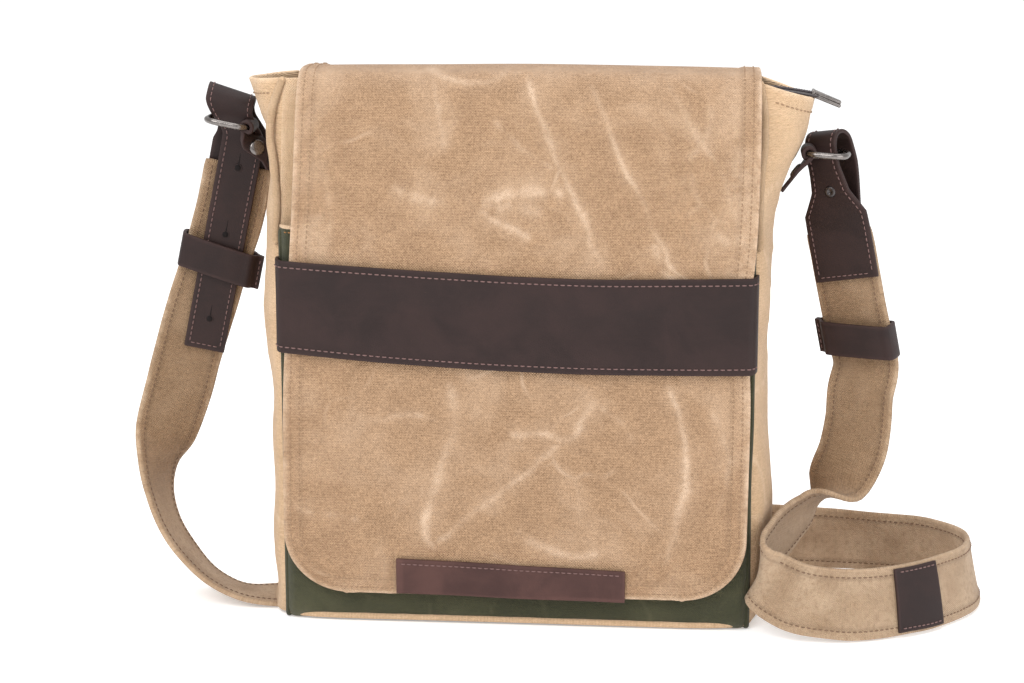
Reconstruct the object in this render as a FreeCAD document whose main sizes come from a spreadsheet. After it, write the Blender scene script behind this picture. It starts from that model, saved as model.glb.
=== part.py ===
import FreeCAD, Part
import math
import os
import Sketcher

# A waxed-canvas messenger satchel: canvas shell and flap, green slip pocket, leather band, zip, and a shoulder
# strap with leather ends on metal rings. Millimetres. +X is the viewer's right, -Y the front, +Z up; z = 0 is
# the floor under the bag.

DIMENSIONS = {
    "panel_half": 133.0,
    "wall": 1.6,
    "front_face": 38.6,
    "front_shoulder": 34.0,
    "front_lip": 20.0,
    "back_face": 45.0,
    "back_shoulder": 38.0,
    "back_lip": 22.0,
    "pocket_lift": 0.6,
    "base_gauge": 5.4,
    "waist_height": 185.0,
    "shoulder_height": 245.0,
    "mouth_height": 300.0,
    "seam_gap": 0.1,
    "pocket_face": 45.0,
    "pocket_height": 220.0,
    "pocket_depth": 6.3,
    "lining_gauge": 1.0,
    "board_gauge": 2.0,
    "band_bottom": 143.0,
    "band_height": 52.0,
    "band_inner": 51.4,
    "leather": 2.2,
    "zip_height": 294.0,
    "zip_centre": 1.2,
    "zip_gap_half": 9.7,
    "zip_length_half": 131.0,
    "flap_half": 131.0,
    "flap_gauge": 3.0,
    "flap_bottom": 17.0,
    "flap_face": 50.4,
    "flap_corner": 33.0,
    "tab_half": 63.5,
    "tab_bottom": 14.0,
    "tab_height": 18.0,
    "ring_wire": 1.75,
    "ring_width": 25.5,
    "ring_depth": 22.0,
    "tongue_half": 10.0,
    "strap_half": 19.0,
    "strap_gauge": 3.0,
    "end_half": 16.5,
    "leg_inner": 2.3,
    "keeper_height": 18.0,
    "keeper_wall": 2.0,
}

# Heights of the gusset sections, with how far out the middle of each gusset stands there.
LEFT_GUSSET = ((3.8, 138.0), (95.0, 138.0), (185.0, 143.0), (230.0, 143.0), (260.0, 140.0), (300.0, 152.0))
RIGHT_GUSSET = ((3.8, 136.0), (95.0, 141.0), (185.0, 143.0), (230.0, 144.0), (260.0, 152.0), (292.0, 163.0))

# Outline of the groove under the base where the strap runs from the left side out to the back.
STRAP_GROOVE = (
    (-140.0, -31.0),
    (-100.0, -18.5),
    (-60.0, -5.5),
    (-20.0, 9.0),
    (20.0, 26.0),
    (62.0, 48.0),
    (-45.0, 48.0),
    (-64.0, 38.0),
    (-100.0, 26.0),
    (-140.0, 13.0),
)

# The strap hardware: the ring's bar in its tab, the slant of tab and strap end, and what is on each strap end.
LEFT_END = {
    "side": "left",
    "outward": -1,
    "eye": (-151.5, 0.0, 277.0),
    "tab_lean": -13.0,
    "strap_lean": 10.0,
    "keeper_at": -84.0,
    "canvas_top": -16.0,
}
RIGHT_END = {
    "side": "right",
    "outward": 1,
    "eye": (159.5, 0.0, 261.0),
    "tab_lean": 21.0,
    "strap_lean": -8.0,
    "keeper_at": -107.0,
    "canvas_top": -32.0,
}
STRAP_CUT = -150.0
STRAP_CUT_GAP = 5.0

# Middle line of the strap from the left end to the right one, and the way across its width at each point.
STRAP_PATH = (
    ((-196.0, 10.0, 98.0), (0.90, 0.30, -0.20)),
    ((-200.0, 8.0, 80.0), (0.65, 0.72, -0.10)),
    ((-199.0, 5.0, 64.0), (0.35, 0.94, 0.0)),
    ((-192.0, 2.0, 46.0), (0.10, 1.0, 0.0)),
    ((-180.0, -2.0, 31.0), (0.0, 1.0, 0.0)),
    ((-164.0, -6.0, 16.5), (-0.05, 1.0, 0.0)),
    ((-150.0, -9.0, 5.0), (-0.15, 1.0, 0.0)),
    ((-137.5, -8.0, 1.7), (-0.25, 1.0, 0.0)),
    ((-100.0, 3.0, 1.8), (-0.32, 1.0, 0.0)),
    ((-60.0, 16.0, 1.8), (-0.34, 1.0, 0.0)),
    ((-20.0, 31.0, 1.8), (-0.40, 1.0, 0.0)),
    ((14.0, 47.0, 1.8), (-0.50, 1.0, 0.0)),
    ((44.0, 64.0, 2.4), (-0.45, 1.0, 0.05)),
    ((74.0, 76.0, 13.5), (-0.22, 0.75, 0.60)),
    ((101.0, 79.0, 20.6), (0.0, 0.15, 0.98)),
    ((132.0, 74.0, 19.8), (0.0, 0.0, 1.0)),
    ((166.0, 66.0, 19.6), (0.0, -0.10, 1.0)),
    ((203.0, 55.0, 19.3), (-0.02, -0.25, 0.97)),
    ((237.0, 33.0, 19.2), (-0.18, -0.17, 0.97)),
    ((252.0, -4.0, 19.2), (-0.25, 0.0, 0.97)),
    ((243.0, -44.0, 19.2), (-0.19, 0.16, 0.97)),
    ((208.0, -70.0, 19.2), (-0.05, 0.25, 0.97)),
    ((168.0, -69.0, 20.5), (0.10, 0.22, 0.97)),
    ((145.0, -48.0, 27.0), (0.16, 0.12, 0.97)),
    ((148.0, -20.0, 38.0), (0.10, 0.0, 1.0)),
    ((164.0, 3.0, 52.0), (0.50, 0.0, 0.86)),
    ((181.0, 10.5, 72.0), (0.93, 0.0, 0.36)),
    ((190.0, 10.3, 90.0), (1.0, 0.0, 0.05)),
)


def open_sheet(doc):
    """Puts every driving dimension in a spreadsheet that the features' expressions read."""
    sheet = doc.addObject("Spreadsheet::Sheet", "Dims")
    for row, (alias, value) in enumerate(DIMENSIONS.items(), start=1):
        sheet.set(f"A{row}", alias)
        sheet.set(f"B{row}", str(value))
        sheet.setAlias(f"B{row}", alias)
    doc.recompute()
    return sheet


def new_body(doc, label):
    """Adds an empty body whose label is the node name."""
    body = doc.addObject("PartDesign::Body", label)
    body.Label = label
    return body


def new_sketch(body, role, lift="0"):
    """Adds a sketch on one of the body's own planes, moved along the plane's normal by lift."""
    plane = next(item for item in body.Origin.OriginFeatures if item.Role == role)
    sketch = body.newObject("Sketcher::SketchObject", "Sketch")
    sketch.AttachmentSupport = [(plane, "")]
    sketch.MapMode = "FlatFace"
    sketch.setExpression(".AttachmentOffset.Base.z", str(lift))
    return sketch


def add_outline(sketch, corners):
    """Draws a closed straight-sided outline whose corners are pinned by expressions."""
    count = len(corners)
    first = len(sketch.Geometry)
    start = [
        FreeCAD.Vector(50 * math.cos(2 * math.pi * i / count), 50 * math.sin(2 * math.pi * i / count), 0)
        for i in range(count)
    ]
    for i in range(count):
        sketch.addGeometry(Part.LineSegment(start[i], start[(i + 1) % count]))
    for i in range(count):
        sketch.addConstraint(Sketcher.Constraint("Coincident", first + i, 2, first + (i + 1) % count, 1))
    for i, corner in enumerate(corners):
        for kind, value in zip(("DistanceX", "DistanceY"), corner):
            index = sketch.addConstraint(Sketcher.Constraint(kind, -1, 1, first + i, 1, 1.0))
            sketch.setExpression(f"Constraints[{index}]", str(value))


def add_circle(sketch, centre, radius):
    """Draws a circle with its centre and radius pinned by expressions."""
    index = sketch.addGeometry(Part.Circle(FreeCAD.Vector(5, 5, 0), FreeCAD.Vector(0, 0, 1), 3))
    for kind, value in zip(("DistanceX", "DistanceY"), centre):
        pin = sketch.addConstraint(Sketcher.Constraint(kind, -1, 1, index, 3, 1.0))
        sketch.setExpression(f"Constraints[{pin}]", str(value))
    pin = sketch.addConstraint(Sketcher.Constraint("Radius", index, 3.0))
    sketch.setExpression(f"Constraints[{pin}]", str(radius))


def pad(body, sketch, length, symmetric=False):
    """Pads a sketch, to both sides of its plane when symmetric."""
    feature = body.newObject("PartDesign::Pad", "Pad")
    feature.Profile = sketch
    feature.setExpression("Length", str(length))
    if symmetric:
        feature.SideType = "Symmetric"
    return feature


def pocket(body, sketch, depth, backwards=False):
    """Cuts a sketch to a depth against its plane's normal, or along it when backwards."""
    feature = body.newObject("PartDesign::Pocket", "Pocket")
    feature.Profile = sketch
    feature.setExpression("Length", str(depth))
    feature.Reversed = backwards
    return feature


def loft(body, sketches, kind):
    """Joins or cuts a straight-sided loft through the sketches."""
    feature = body.newObject(kind, "Loft")
    feature.Profile = sketches[0]
    feature.Sections = sketches[1:]
    feature.Ruled = True
    return feature


def panel(doc, label, corners, length):
    """A sheet with its side profile in the YZ plane, running across the bag."""
    body = new_body(doc, label)
    sketch = new_sketch(body, "YZ_Plane")
    add_outline(sketch, corners)
    pad(body, sketch, length, symmetric=True)
    return body


def plate(doc, label, corners, lift, height):
    """A flat piece with its plan outline in the XY plane."""
    body = new_body(doc, label)
    sketch = new_sketch(body, "XY_Plane", lift)
    add_outline(sketch, corners)
    pad(body, sketch, height)
    return body


def box_corners(x_low, x_high, y_low, y_high):
    """The four corners of a rectangle."""
    return ((x_low, y_low), (x_high, y_low), (x_high, y_high), (x_low, y_high))


def wall_height(face, shoulder, lip, height):
    """How far out a panel's outer face stands at a height, as an expression."""
    d = "Dims."
    if height <= DIMENSIONS["waist_height"]:
        return f"{d}{face}"
    if height <= DIMENSIONS["shoulder_height"]:
        share = f"({height} - {d}waist_height) / ({d}shoulder_height - {d}waist_height)"
        return f"({d}{face} + ({d}{shoulder} - {d}{face}) * {share})"
    share = f"({height} - {d}shoulder_height) / ({d}mouth_height - {d}shoulder_height)"
    return f"({d}{shoulder} + ({d}{lip} - {d}{shoulder}) * {share})"


def front_at(height, inset):
    """Y of the front panel's outer face at a height, moved into the bag by inset."""
    return f"-({wall_height('front_face', 'front_shoulder', 'front_lip', height)}) + {inset}"


def back_at(height, inset):
    """Y of the back panel's outer face at a height, moved into the bag by inset."""
    return f"{wall_height('back_face', 'back_shoulder', 'back_lip', height)} - ({inset})"


def sheet_profile(side_at, heights, outer, inner):
    """The side profile of a sheet that follows a panel between two insets."""
    up = [(side_at(height, outer), height) for height in heights]
    down = [(side_at(height, inner), height) for height in reversed(heights)]
    return up + down


def shell_panels(doc):
    """Front and back canvas panels, leaning in above the waist to the mouth."""
    heights = (3.8, 185.0, 245.0, 300.0)
    for label, side_at in (("front_panel", front_at), ("back_panel", back_at)):
        panel(doc, label, sheet_profile(side_at, heights, "0", "Dims.wall"), "2 * Dims.panel_half")


def gusset(doc, label, outward, sections):
    """A side gusset: folded outward down its middle, spreading into a wing at the mouth."""
    body = new_body(doc, label)
    sketches = []
    inset = "(Dims.wall + Dims.seam_gap)"
    for height, apex in sections:
        front = front_at(height, inset)
        back = back_at(height, inset)
        middle = f"(({front}) + ({back})) / 2"
        seam = f"{outward} * (Dims.panel_half - Dims.seam_gap)"
        seam_inner = f"{outward} * (Dims.panel_half - Dims.seam_gap - Dims.wall)"
        sketch = new_sketch(body, "XY_Plane", height)
        add_outline(
            sketch,
            (
                (seam, front),
                (outward * apex, middle),
                (seam, back),
                (seam_inner, back),
                (outward * (apex - 2.0), middle),
                (seam_inner, front),
            ),
        )
        sketches.append(sketch)
    loft(body, sketches, "PartDesign::AdditiveLoft")


def base(doc):
    """The padded base with the groove that the strap under it presses in, its board, and the front piping."""
    d = "Dims."
    edge = f"({d}panel_half - 1.8)"
    front = f"-{d}front_face + {d}wall + {d}seam_gap"
    back = f"{d}back_face - {d}wall - {d}seam_gap"
    body = plate(doc, "base_panel", box_corners(f"-{edge}", edge, front, back), "0", f"{d}base_gauge")
    groove = new_sketch(body, "XY_Plane", f"{d}strap_gauge + 0.7")
    add_outline(groove, STRAP_GROOVE)
    pocket(body, groove, f"{d}strap_gauge + 1")
    board = f"({edge} - 1.2)"
    corners = box_corners(f"-{board}", board, f"{front} + 1", f"{back} - 1")
    plate(doc, "base_board", corners, f"{d}base_gauge + {d}seam_gap", f"{d}board_gauge")
    face = f"-{d}pocket_face - {d}seam_gap"
    corners = box_corners(f"-{d}zip_length_half", f"{d}zip_length_half", f"{face} - 1.8", face)
    plate(doc, "front_piping", corners, "0", "3.4")


def slip_pocket(doc):
    """The green canvas slip pocket across the lower front, open at its top edge."""
    d = "Dims."
    body = new_body(doc, "front_pocket")
    sketch = new_sketch(body, "XY_Plane", f"{d}pocket_lift")
    back = f"-{d}pocket_face + {d}pocket_depth"
    add_outline(sketch, box_corners(f"-{d}panel_half", f"{d}panel_half", f"-{d}pocket_face", back))
    pad(body, sketch, f"{d}pocket_height - {d}pocket_lift")
    hollow = new_sketch(body, "XY_Plane", f"{d}pocket_height")
    edge = f"({d}panel_half - {d}wall)"
    add_outline(hollow, box_corners(f"-{edge}", edge, f"-{d}pocket_face + {d}wall", f"{back} + 1"))
    pocket(body, hollow, f"{d}pocket_height - {d}pocket_lift - {d}wall")
    corners = box_corners(f"-{d}panel_half", f"{d}panel_half", "-45.7", "-45.1")
    plate(doc, "pocket_binding", corners, f"{d}pocket_height - 7", "7.4")


def lining(doc):
    """The inner bag: a thin open-topped shell standing on the base board."""
    body = new_body(doc, "lining")
    inset = "(Dims.wall + 2 * Dims.seam_gap)"
    edge = "(Dims.panel_half - 1.8)"
    for thickness, floor, kind in (
        ("0", 7.6, "PartDesign::AdditiveLoft"),
        ("Dims.lining_gauge", 8.6, "PartDesign::SubtractiveLoft"),
    ):
        sketches = []
        for height in (floor, 185.0, 245.0, 268.0):
            sketch = new_sketch(body, "XY_Plane", height)
            front = front_at(height, f"{inset} + {thickness}")
            back = back_at(height, f"{inset} + {thickness}")
            reach = f"({edge} - {thickness})"
            add_outline(sketch, box_corners(f"-{reach}", reach, front, back))
            sketches.append(sketch)
        loft(body, sketches, kind)


def mouth(doc):
    """Canvas facings round the mouth, the zip's tapes and coils, and the tail that runs past the right wing."""
    d = "Dims."
    outer = "(Dims.wall + Dims.seam_gap)"
    inner = "(Dims.wall + Dims.seam_gap + 1.2)"
    for label, side_at in (("front_facing", front_at), ("back_facing", back_at)):
        profile = sheet_profile(side_at, (269.0, 299.0), outer, inner)
        panel(doc, label, profile, f"2 * {d}zip_length_half")
    length = f"{d}zip_length_half"
    for label, sign, sewn in (("front", -1, -18.2), ("back", 1, 20.6)):
        far = f"{d}zip_centre + {sign} * {d}zip_gap_half"
        near = f"{d}zip_centre + {sign} * 1.0"
        tape = (
            (f"-{length}", sewn),
            (length, sewn),
            (length, near),
            (112, near),
            (70, far),
            (f"-{length}", far),
        )
        plate(doc, f"zip_tape_{label}", tape, f"{d}zip_height", "0.8")
        coil_far = f"{far} - {sign} * 0.1"
        coil_far_inner = f"{far} - {sign} * 1.5"
        coil = (
            (f"-{length}", coil_far),
            (70, coil_far),
            (112, f"{near} - {sign} * 0.1"),
            (length, f"{near} - {sign} * 0.1"),
            (length, f"{near} - {sign} * 0.9"),
            (112, f"{near} - {sign} * 0.9"),
            (70, coil_far_inner),
            (f"-{length}", coil_far_inner),
        )
        plate(doc, f"zip_coil_{label}", coil, f"{d}zip_height - 0.2", "1.6")
    plate(doc, "zip_tail", box_corners("131.2", "163", "-5.8", "8.2"), "293.4", "0.8")
    plate(doc, "zip_tail_coil", box_corners("131.2", "163", "0.2", "2.2"), "294.3", "1.5")
    cap = panel(doc, "zip_end_cap", ((-3.4, -2.6), (3.4, -2.6), (2.4, 2.6), (-2.4, 2.6)), "15")
    tilt = FreeCAD.Rotation(FreeCAD.Vector(0, 1, 0), 22)
    cap.Placement = FreeCAD.Placement(FreeCAD.Vector(171.6, 1.2, 291.0), tilt)


def zip_slider(doc):
    """The slider riding on the coils, and the pull that hangs from its pin into the mouth."""
    pin_across, pin_height = 93.0, 297.7
    body = new_body(doc, "zip_slider")
    sketch = new_sketch(body, "XY_Plane", "Dims.zip_height + 1.8")
    add_outline(sketch, ((96, -1.8), (102, -4.0), (112, -4.0), (112, 6.4), (102, 6.4), (96, 4.2)))
    pad(body, sketch, "3")
    for side in ("1.8", "-3.4"):
        lug = new_sketch(body, "XZ_Plane", f"{side} - 0.9")
        add_outline(lug, ((91.6, 296.4), (97, 296.4), (97, 298.8), (91.6, 298.8)))
        pad(body, lug, "0.9")
    pin = new_sketch(body, "XZ_Plane", "-4.2")
    add_circle(pin, (pin_across, pin_height), "0.6")
    pad(body, pin, "6")
    pull = new_body(doc, "zip_puller")
    sketch = new_sketch(pull, "YZ_Plane")
    add_outline(sketch, box_corners("-2", "2", "-27", "-1.2"))
    pad(pull, sketch, "1.4", symmetric=True)
    eye = new_sketch(pull, "XZ_Plane")
    add_circle(eye, (0, 0), "1.8")
    pad(pull, eye, "4", symmetric=True)
    hole = new_sketch(pull, "XZ_Plane", "3")
    add_circle(hole, (0, 0), "0.95")
    pocket(pull, hole, "6")
    pull.Placement = FreeCAD.Placement(FreeCAD.Vector(pin_across, 1.2, pin_height), FreeCAD.Rotation())


def band(doc):
    """The wide leather band across the front, its ends turned back into the side seams."""
    d = "Dims."
    edge = f"({d}panel_half + 0.4)"
    outer = f"({d}panel_half + 0.4 + {d}leather)"
    face = f"-{d}band_inner - {d}leather"
    corners = (
        (f"-{outer}", face),
        (outer, face),
        (outer, -40.5),
        (edge, -40.5),
        (edge, f"-{d}band_inner"),
        (f"-{edge}", f"-{d}band_inner"),
        (f"-{edge}", -40.5),
        (f"-{outer}", -40.5),
    )
    plate(doc, "front_band", corners, f"{d}band_bottom", f"{d}band_height")


def flap(doc):
    """The flap: its sewn edge on the back, the part over the mouth, the hanging front and its leather tab."""
    d = "Dims."
    width = f"2 * {d}flap_half"
    panel(doc, "flap_anchor", sheet_profile(back_at, (262.0, 299.0), "-2.5", "-0.3"), width)
    top = ((-22.5, 307), (29, 307), (29, f"307 + {d}flap_gauge"), (-22.5, f"307 + {d}flap_gauge"))
    panel(doc, "flap_top", top, width)
    inner = f"-{d}flap_face + {d}flap_gauge"
    profile = (
        (-25.9, 306.4),
        (-41.2, 262.0),
        (inner, 215.0),
        (inner, f"{d}flap_bottom"),
        (f"-{d}flap_face", f"{d}flap_bottom"),
        (f"-{d}flap_face", 215.0),
        (-44.3, 261.0),
        (-28.7, 307.6),
    )
    body = panel(doc, "flap_front", profile, width)
    for sign in (-1, 1):
        corner = new_sketch(body, "XZ_Plane", "80")
        outline = [(f"{sign} * ({d}flap_half + 1)", f"{d}flap_bottom - 1")]
        for step in range(7):
            turn = math.radians(15 * step)
            across = f"{sign} * ({d}flap_half - {d}flap_corner * {1 - math.cos(turn):.4f})"
            up = f"{d}flap_bottom + {d}flap_corner * {1 - math.sin(turn):.4f}"
            outline.append((across, up))
        outline[1] = (f"{sign} * ({d}flap_half + 1)", f"{d}flap_bottom + {d}flap_corner")
        outline[-1] = (f"{sign} * ({d}flap_half - {d}flap_corner)", f"{d}flap_bottom - 1")
        add_outline(corner, outline)
        pocket(body, corner, "70")
    tab = new_body(doc, "flap_tab")
    sketch = new_sketch(tab, "XZ_Plane", f"{d}flap_face + 0.3")
    top_edge = f"{d}tab_bottom + {d}tab_height"
    add_outline(sketch, box_corners(f"-{d}tab_half", f"{d}tab_half", f"{d}tab_bottom", top_edge))
    pad(tab, sketch, f"{d}leather")


def turned(origin, lean):
    """A placement at a point, leaned about the bag's front-to-back direction."""
    return FreeCAD.Placement(FreeCAD.Vector(*origin), FreeCAD.Rotation(FreeCAD.Vector(0, 1, 0), lean))


def stud(doc, label, role, centre, reach, placement):
    """A post with a round head at each end, through two layers of leather."""
    body = new_body(doc, label)
    for start, length, radius in (
        (f"-{reach} - 1.3", "1.2", "4.2"),
        (f"-{reach} - 0.2", f"2 * {reach} + 0.4", "1.9"),
        (f"{reach} + 0.1", "1.2", "4.2"),
    ):
        sketch = new_sketch(body, role, start)
        add_circle(sketch, centre, radius)
        pad(body, sketch, length)
    body.Placement = placement


def ring_tab(doc, end):
    """The leather tab folded round the ring's bar and riveted to itself beside the gusset."""
    body = new_body(doc, f"{end['side']}_ring_tab")
    leaf = new_sketch(body, "YZ_Plane")
    edge = ((5.8, 0), (5.8, -6), (8.5, -9), (8.5, -22), (0, -31))
    add_outline(leaf, edge + tuple((-y, z) for y, z in reversed(edge[:-1])))
    pad(body, leaf, "2 * Dims.leather", symmetric=True)
    eye = new_sketch(body, "XZ_Plane")
    add_circle(eye, (0, 0), "Dims.ring_wire + 0.4 + Dims.leather")
    pad(body, eye, "11.6", symmetric=True)
    hole = new_sketch(body, "XZ_Plane", "15")
    add_circle(hole, (0, 0), "Dims.ring_wire + 0.4")
    pocket(body, hole, "30")
    rivet_hole = new_sketch(body, "YZ_Plane", "5")
    add_circle(rivet_hole, (0, -15), "2.1")
    pocket(body, rivet_hole, "10")
    body.Placement = turned(end["eye"], end["tab_lean"])
    stud(doc, f"{end['side']}_tab_rivet", "YZ_Plane", (0, -15), "Dims.leather", body.Placement)


def ring(doc, end):
    """The metal ring that joins tab and strap, lying level with one bar in the tab's fold."""
    body = new_body(doc, f"{end['side']}_ring")
    path = new_sketch(body, "XY_Plane")
    far = f"{end['outward']} * Dims.ring_width"
    half = "Dims.ring_depth / 2"
    add_outline(path, ((0, f"-{half}"), (far, f"-{half}"), (far, half), (0, half)))
    section = new_sketch(body, "YZ_Plane", f"{end['outward']} * Dims.ring_width / 2")
    add_circle(section, (f"-{half}", 0), "Dims.ring_wire")
    sweep = body.newObject("PartDesign::AdditivePipe", "Sweep")
    sweep.Profile = section
    sweep.Spine = path
    sweep.Transition = "Round corner"
    body.Placement = FreeCAD.Placement(FreeCAD.Vector(*end["eye"]), FreeCAD.Rotation())


def strap_frame(end):
    """Where the strap end hangs: on the ring's far bar, leaning with the strap."""
    x, y, z = end["eye"]
    across = x + end["outward"] * DIMENSIONS["ring_width"] / 2
    return turned((across, y + DIMENSIONS["ring_depth"] / 2, z), end["strap_lean"])


def strap_end(doc, end):
    """The leather strap end: a wide part sewn to the canvas, a tongue over the ring and a tail with holes."""
    tail_front = end["side"] == "left"
    front_reach, back_reach = (-137, -30) if tail_front else (-40, -172)
    body = new_body(doc, f"{end['side']}_strap_end")
    profile = new_sketch(body, "YZ_Plane")
    inner = "Dims.leg_inner"
    outer = "(Dims.leg_inner + Dims.leather)"
    add_outline(
        profile,
        (
            (f"-{inner}", front_reach),
            (f"-{outer}", front_reach),
            (f"-{outer}", 14.0),
            (-2.4, 18.0),
            (2.4, 18.0),
            (outer, 14.0),
            (outer, back_reach),
            (inner, back_reach),
            (inner, 13.2),
            (1.2, 15.6),
            (-1.2, 15.6),
            (f"-{inner}", 13.2),
        ),
    )
    pad(body, profile, "2 * Dims.tongue_half", symmetric=True)
    shoulder, foot = (-16, -54) if tail_front else (-36, -67)
    wide = new_sketch(body, "XZ_Plane", f"-{outer}" if tail_front else inner)
    narrow = "Dims.tongue_half"
    broad = "Dims.end_half"
    add_outline(
        wide,
        (
            (narrow, shoulder + 12),
            (broad, shoulder),
            (broad, foot),
            (f"-{broad}", foot),
            (f"-{broad}", shoulder),
            (f"-{narrow}", shoulder + 12),
        ),
    )
    pad(body, wide, "Dims.leather")
    post = new_sketch(body, "XZ_Plane", "10")
    add_circle(post, (0, -21), "2.1")
    pocket(body, post, "20")
    heights = (-62, -119) if tail_front else (-106, -150)
    for height in heights:
        hole = new_sketch(body, "XZ_Plane", "10" if tail_front else "-10")
        add_circle(hole, (0, height), "2.1")
        pocket(body, hole, "7", backwards=not tail_front)
    body.Placement = strap_frame(end)
    stud(doc, f"{end['side']}_strap_stud", "XZ_Plane", (0, -21), outer, body.Placement)


def keeper(doc, end):
    """The leather keeper round strap, tongue and tail."""
    body = new_body(doc, f"{end['side']}_keeper")
    sketch = new_sketch(body, "XY_Plane", f"{end['keeper_at']} - Dims.keeper_height / 2")
    across = "(Dims.strap_half + 0.5)"
    deep = "(Dims.leg_inner + Dims.leather + 0.5)"
    wall = "Dims.keeper_wall"
    outer_x, outer_y = f"({across} + {wall})", f"({deep} + {wall})"
    add_outline(sketch, box_corners(f"-{outer_x}", outer_x, f"-{outer_y}", outer_y))
    add_outline(sketch, box_corners(f"-{across}", across, f"-{deep}", deep))
    pad(body, sketch, "Dims.keeper_height")
    body.Placement = strap_frame(end)


def strap_section(doc, end):
    """The canvas strap's straight run between the leather layers of one end."""
    body = new_body(doc, f"{end['side']}_strap_canvas")
    sketch = new_sketch(body, "XY_Plane", STRAP_CUT)
    half = "Dims.strap_gauge / 2"
    add_outline(sketch, box_corners("-Dims.strap_half", "Dims.strap_half", f"-{half}", half))
    pad(body, sketch, end["canvas_top"] - STRAP_CUT)
    if end["canvas_top"] > -23:
        post = new_sketch(body, "XZ_Plane", "10")
        add_circle(post, (0, -21), "2.1")
        pocket(body, post, "20")
    body.Placement = strap_frame(end)


def strap_ends(doc):
    """Both ends of the shoulder strap, each with its tab, ring, leather, stud and keeper."""
    for end in (LEFT_END, RIGHT_END):
        ring_tab(doc, end)
        ring(doc, end)
        strap_end(doc, end)
        keeper(doc, end)
        strap_section(doc, end)


def strap_stations():
    """The strap's middle points and width directions, from the left cut to the right one."""
    stations = []
    for end in (LEFT_END, RIGHT_END):
        frame = strap_frame(end)
        near = frame.multVec(FreeCAD.Vector(0, 0, STRAP_CUT - STRAP_CUT_GAP))
        across = frame.Rotation.multVec(FreeCAD.Vector(1, 0, 0))
        stations.append((near, across))
    middle = [(FreeCAD.Vector(*point), FreeCAD.Vector(*across)) for point, across in STRAP_PATH]
    return [stations[0]] + middle + [stations[1]]


def ribbon(stations, width, gauge, steps, first=0.0, last=1.0, lift=0.0):
    """A flat band swept along a smooth line, its width turning evenly between the stations."""
    curve = Part.BSplineCurve()
    curve.interpolate([point for point, across in stations])
    knots = [curve.parameter(point) for point, across in stations]
    low, high = knots[0], knots[-1]
    sections = []
    for step in range(steps + 1):
        value = low + (high - low) * (first + (last - first) * step / steps)
        value = min(max(value, low), high)
        span = max(i for i in range(len(knots) - 1) if knots[i] <= value)
        share = (value - knots[span]) / (knots[span + 1] - knots[span])
        across = stations[span][1] * (1 - share) + stations[span + 1][1] * share
        along = curve.tangent(value)[0]
        across = (across - along * across.dot(along)).normalize()
        normal = along.cross(across).normalize()
        middle = curve.value(value) + normal * lift
        a, b = across * (width / 2), normal * (gauge / 2)
        corners = [middle - a - b, middle + a - b, middle + a + b, middle - a + b]
        sections.append(Part.makePolygon(corners + corners[:1]))
    return Part.makeLoft(sections, True, True)


def strap_run(doc):
    """The strap between its ends, and the leather patch on its loop. The band twists along a free line."""
    stations = strap_stations()
    width = 2 * DIMENSIONS["strap_half"]
    run = doc.addObject("Part::Feature", "strap_canvas")
    run.Label = "strap_canvas"
    run.Shape = ribbon(stations, width, DIMENSIONS["strap_gauge"], 110)
    patch = doc.addObject("Part::Feature", "strap_patch")
    patch.Label = "strap_patch"
    patch.Shape = ribbon(stations, width - 1, 1.6, 5, 0.752, 0.779, -2.6)


def check_shapes(nodes):
    """Stops the build when a feature failed or a node's solids are not closed and valid."""
    for node in nodes:
        states = [item.State for item in (getattr(node, "Group", None) or [])] + [node.State]
        if any("Invalid" in state or "Error" in state for state in states):
            raise RuntimeError(f"{node.Label} has a failed feature")
        shape = node.Shape
        if shape.isNull() or not shape.Solids or not shape.isValid():
            raise RuntimeError(f"{node.Label} is not a valid solid")


def main():
    doc = FreeCAD.newDocument("satchel")
    open_sheet(doc)
    shell_panels(doc)
    gusset(doc, "left_gusset", -1, LEFT_GUSSET)
    gusset(doc, "right_gusset", 1, RIGHT_GUSSET)
    base(doc)
    slip_pocket(doc)
    lining(doc)
    mouth(doc)
    zip_slider(doc)
    band(doc)
    flap(doc)
    strap_ends(doc)
    strap_run(doc)
    doc.recompute()
    nodes = [item for item in doc.Objects if item.isDerivedFrom("PartDesign::Body") or item.TypeId == "Part::Feature"]
    check_shapes(nodes)
    os.makedirs("parts", exist_ok=True)
    for node in nodes:
        node.Shape.exportStep(f"parts/{node.Label}.step")
    print(len(nodes), "nodes")


main()
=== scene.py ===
"""A waxed-canvas messenger satchel, modelled in Blender round the CAD frame. Millimetres until a mesh is made."""

import math

import bmesh
import bpy
import numpy as np
from mathutils import Matrix, Vector


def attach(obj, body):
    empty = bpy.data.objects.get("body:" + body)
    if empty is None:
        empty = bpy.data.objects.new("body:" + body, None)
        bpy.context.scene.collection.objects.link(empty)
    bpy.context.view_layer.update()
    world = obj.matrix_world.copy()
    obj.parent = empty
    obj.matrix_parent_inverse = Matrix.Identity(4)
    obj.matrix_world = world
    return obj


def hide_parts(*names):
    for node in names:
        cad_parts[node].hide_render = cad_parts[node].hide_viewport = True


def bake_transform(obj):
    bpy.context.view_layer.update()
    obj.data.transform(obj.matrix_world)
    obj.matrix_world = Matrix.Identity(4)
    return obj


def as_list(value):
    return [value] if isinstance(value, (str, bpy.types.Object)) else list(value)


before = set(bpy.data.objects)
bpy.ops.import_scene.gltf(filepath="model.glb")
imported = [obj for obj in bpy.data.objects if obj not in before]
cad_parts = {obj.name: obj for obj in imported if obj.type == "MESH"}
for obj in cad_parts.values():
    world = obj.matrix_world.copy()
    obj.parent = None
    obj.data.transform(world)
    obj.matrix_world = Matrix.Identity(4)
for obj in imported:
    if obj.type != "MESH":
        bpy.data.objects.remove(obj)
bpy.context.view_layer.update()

MM = 0.001

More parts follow.
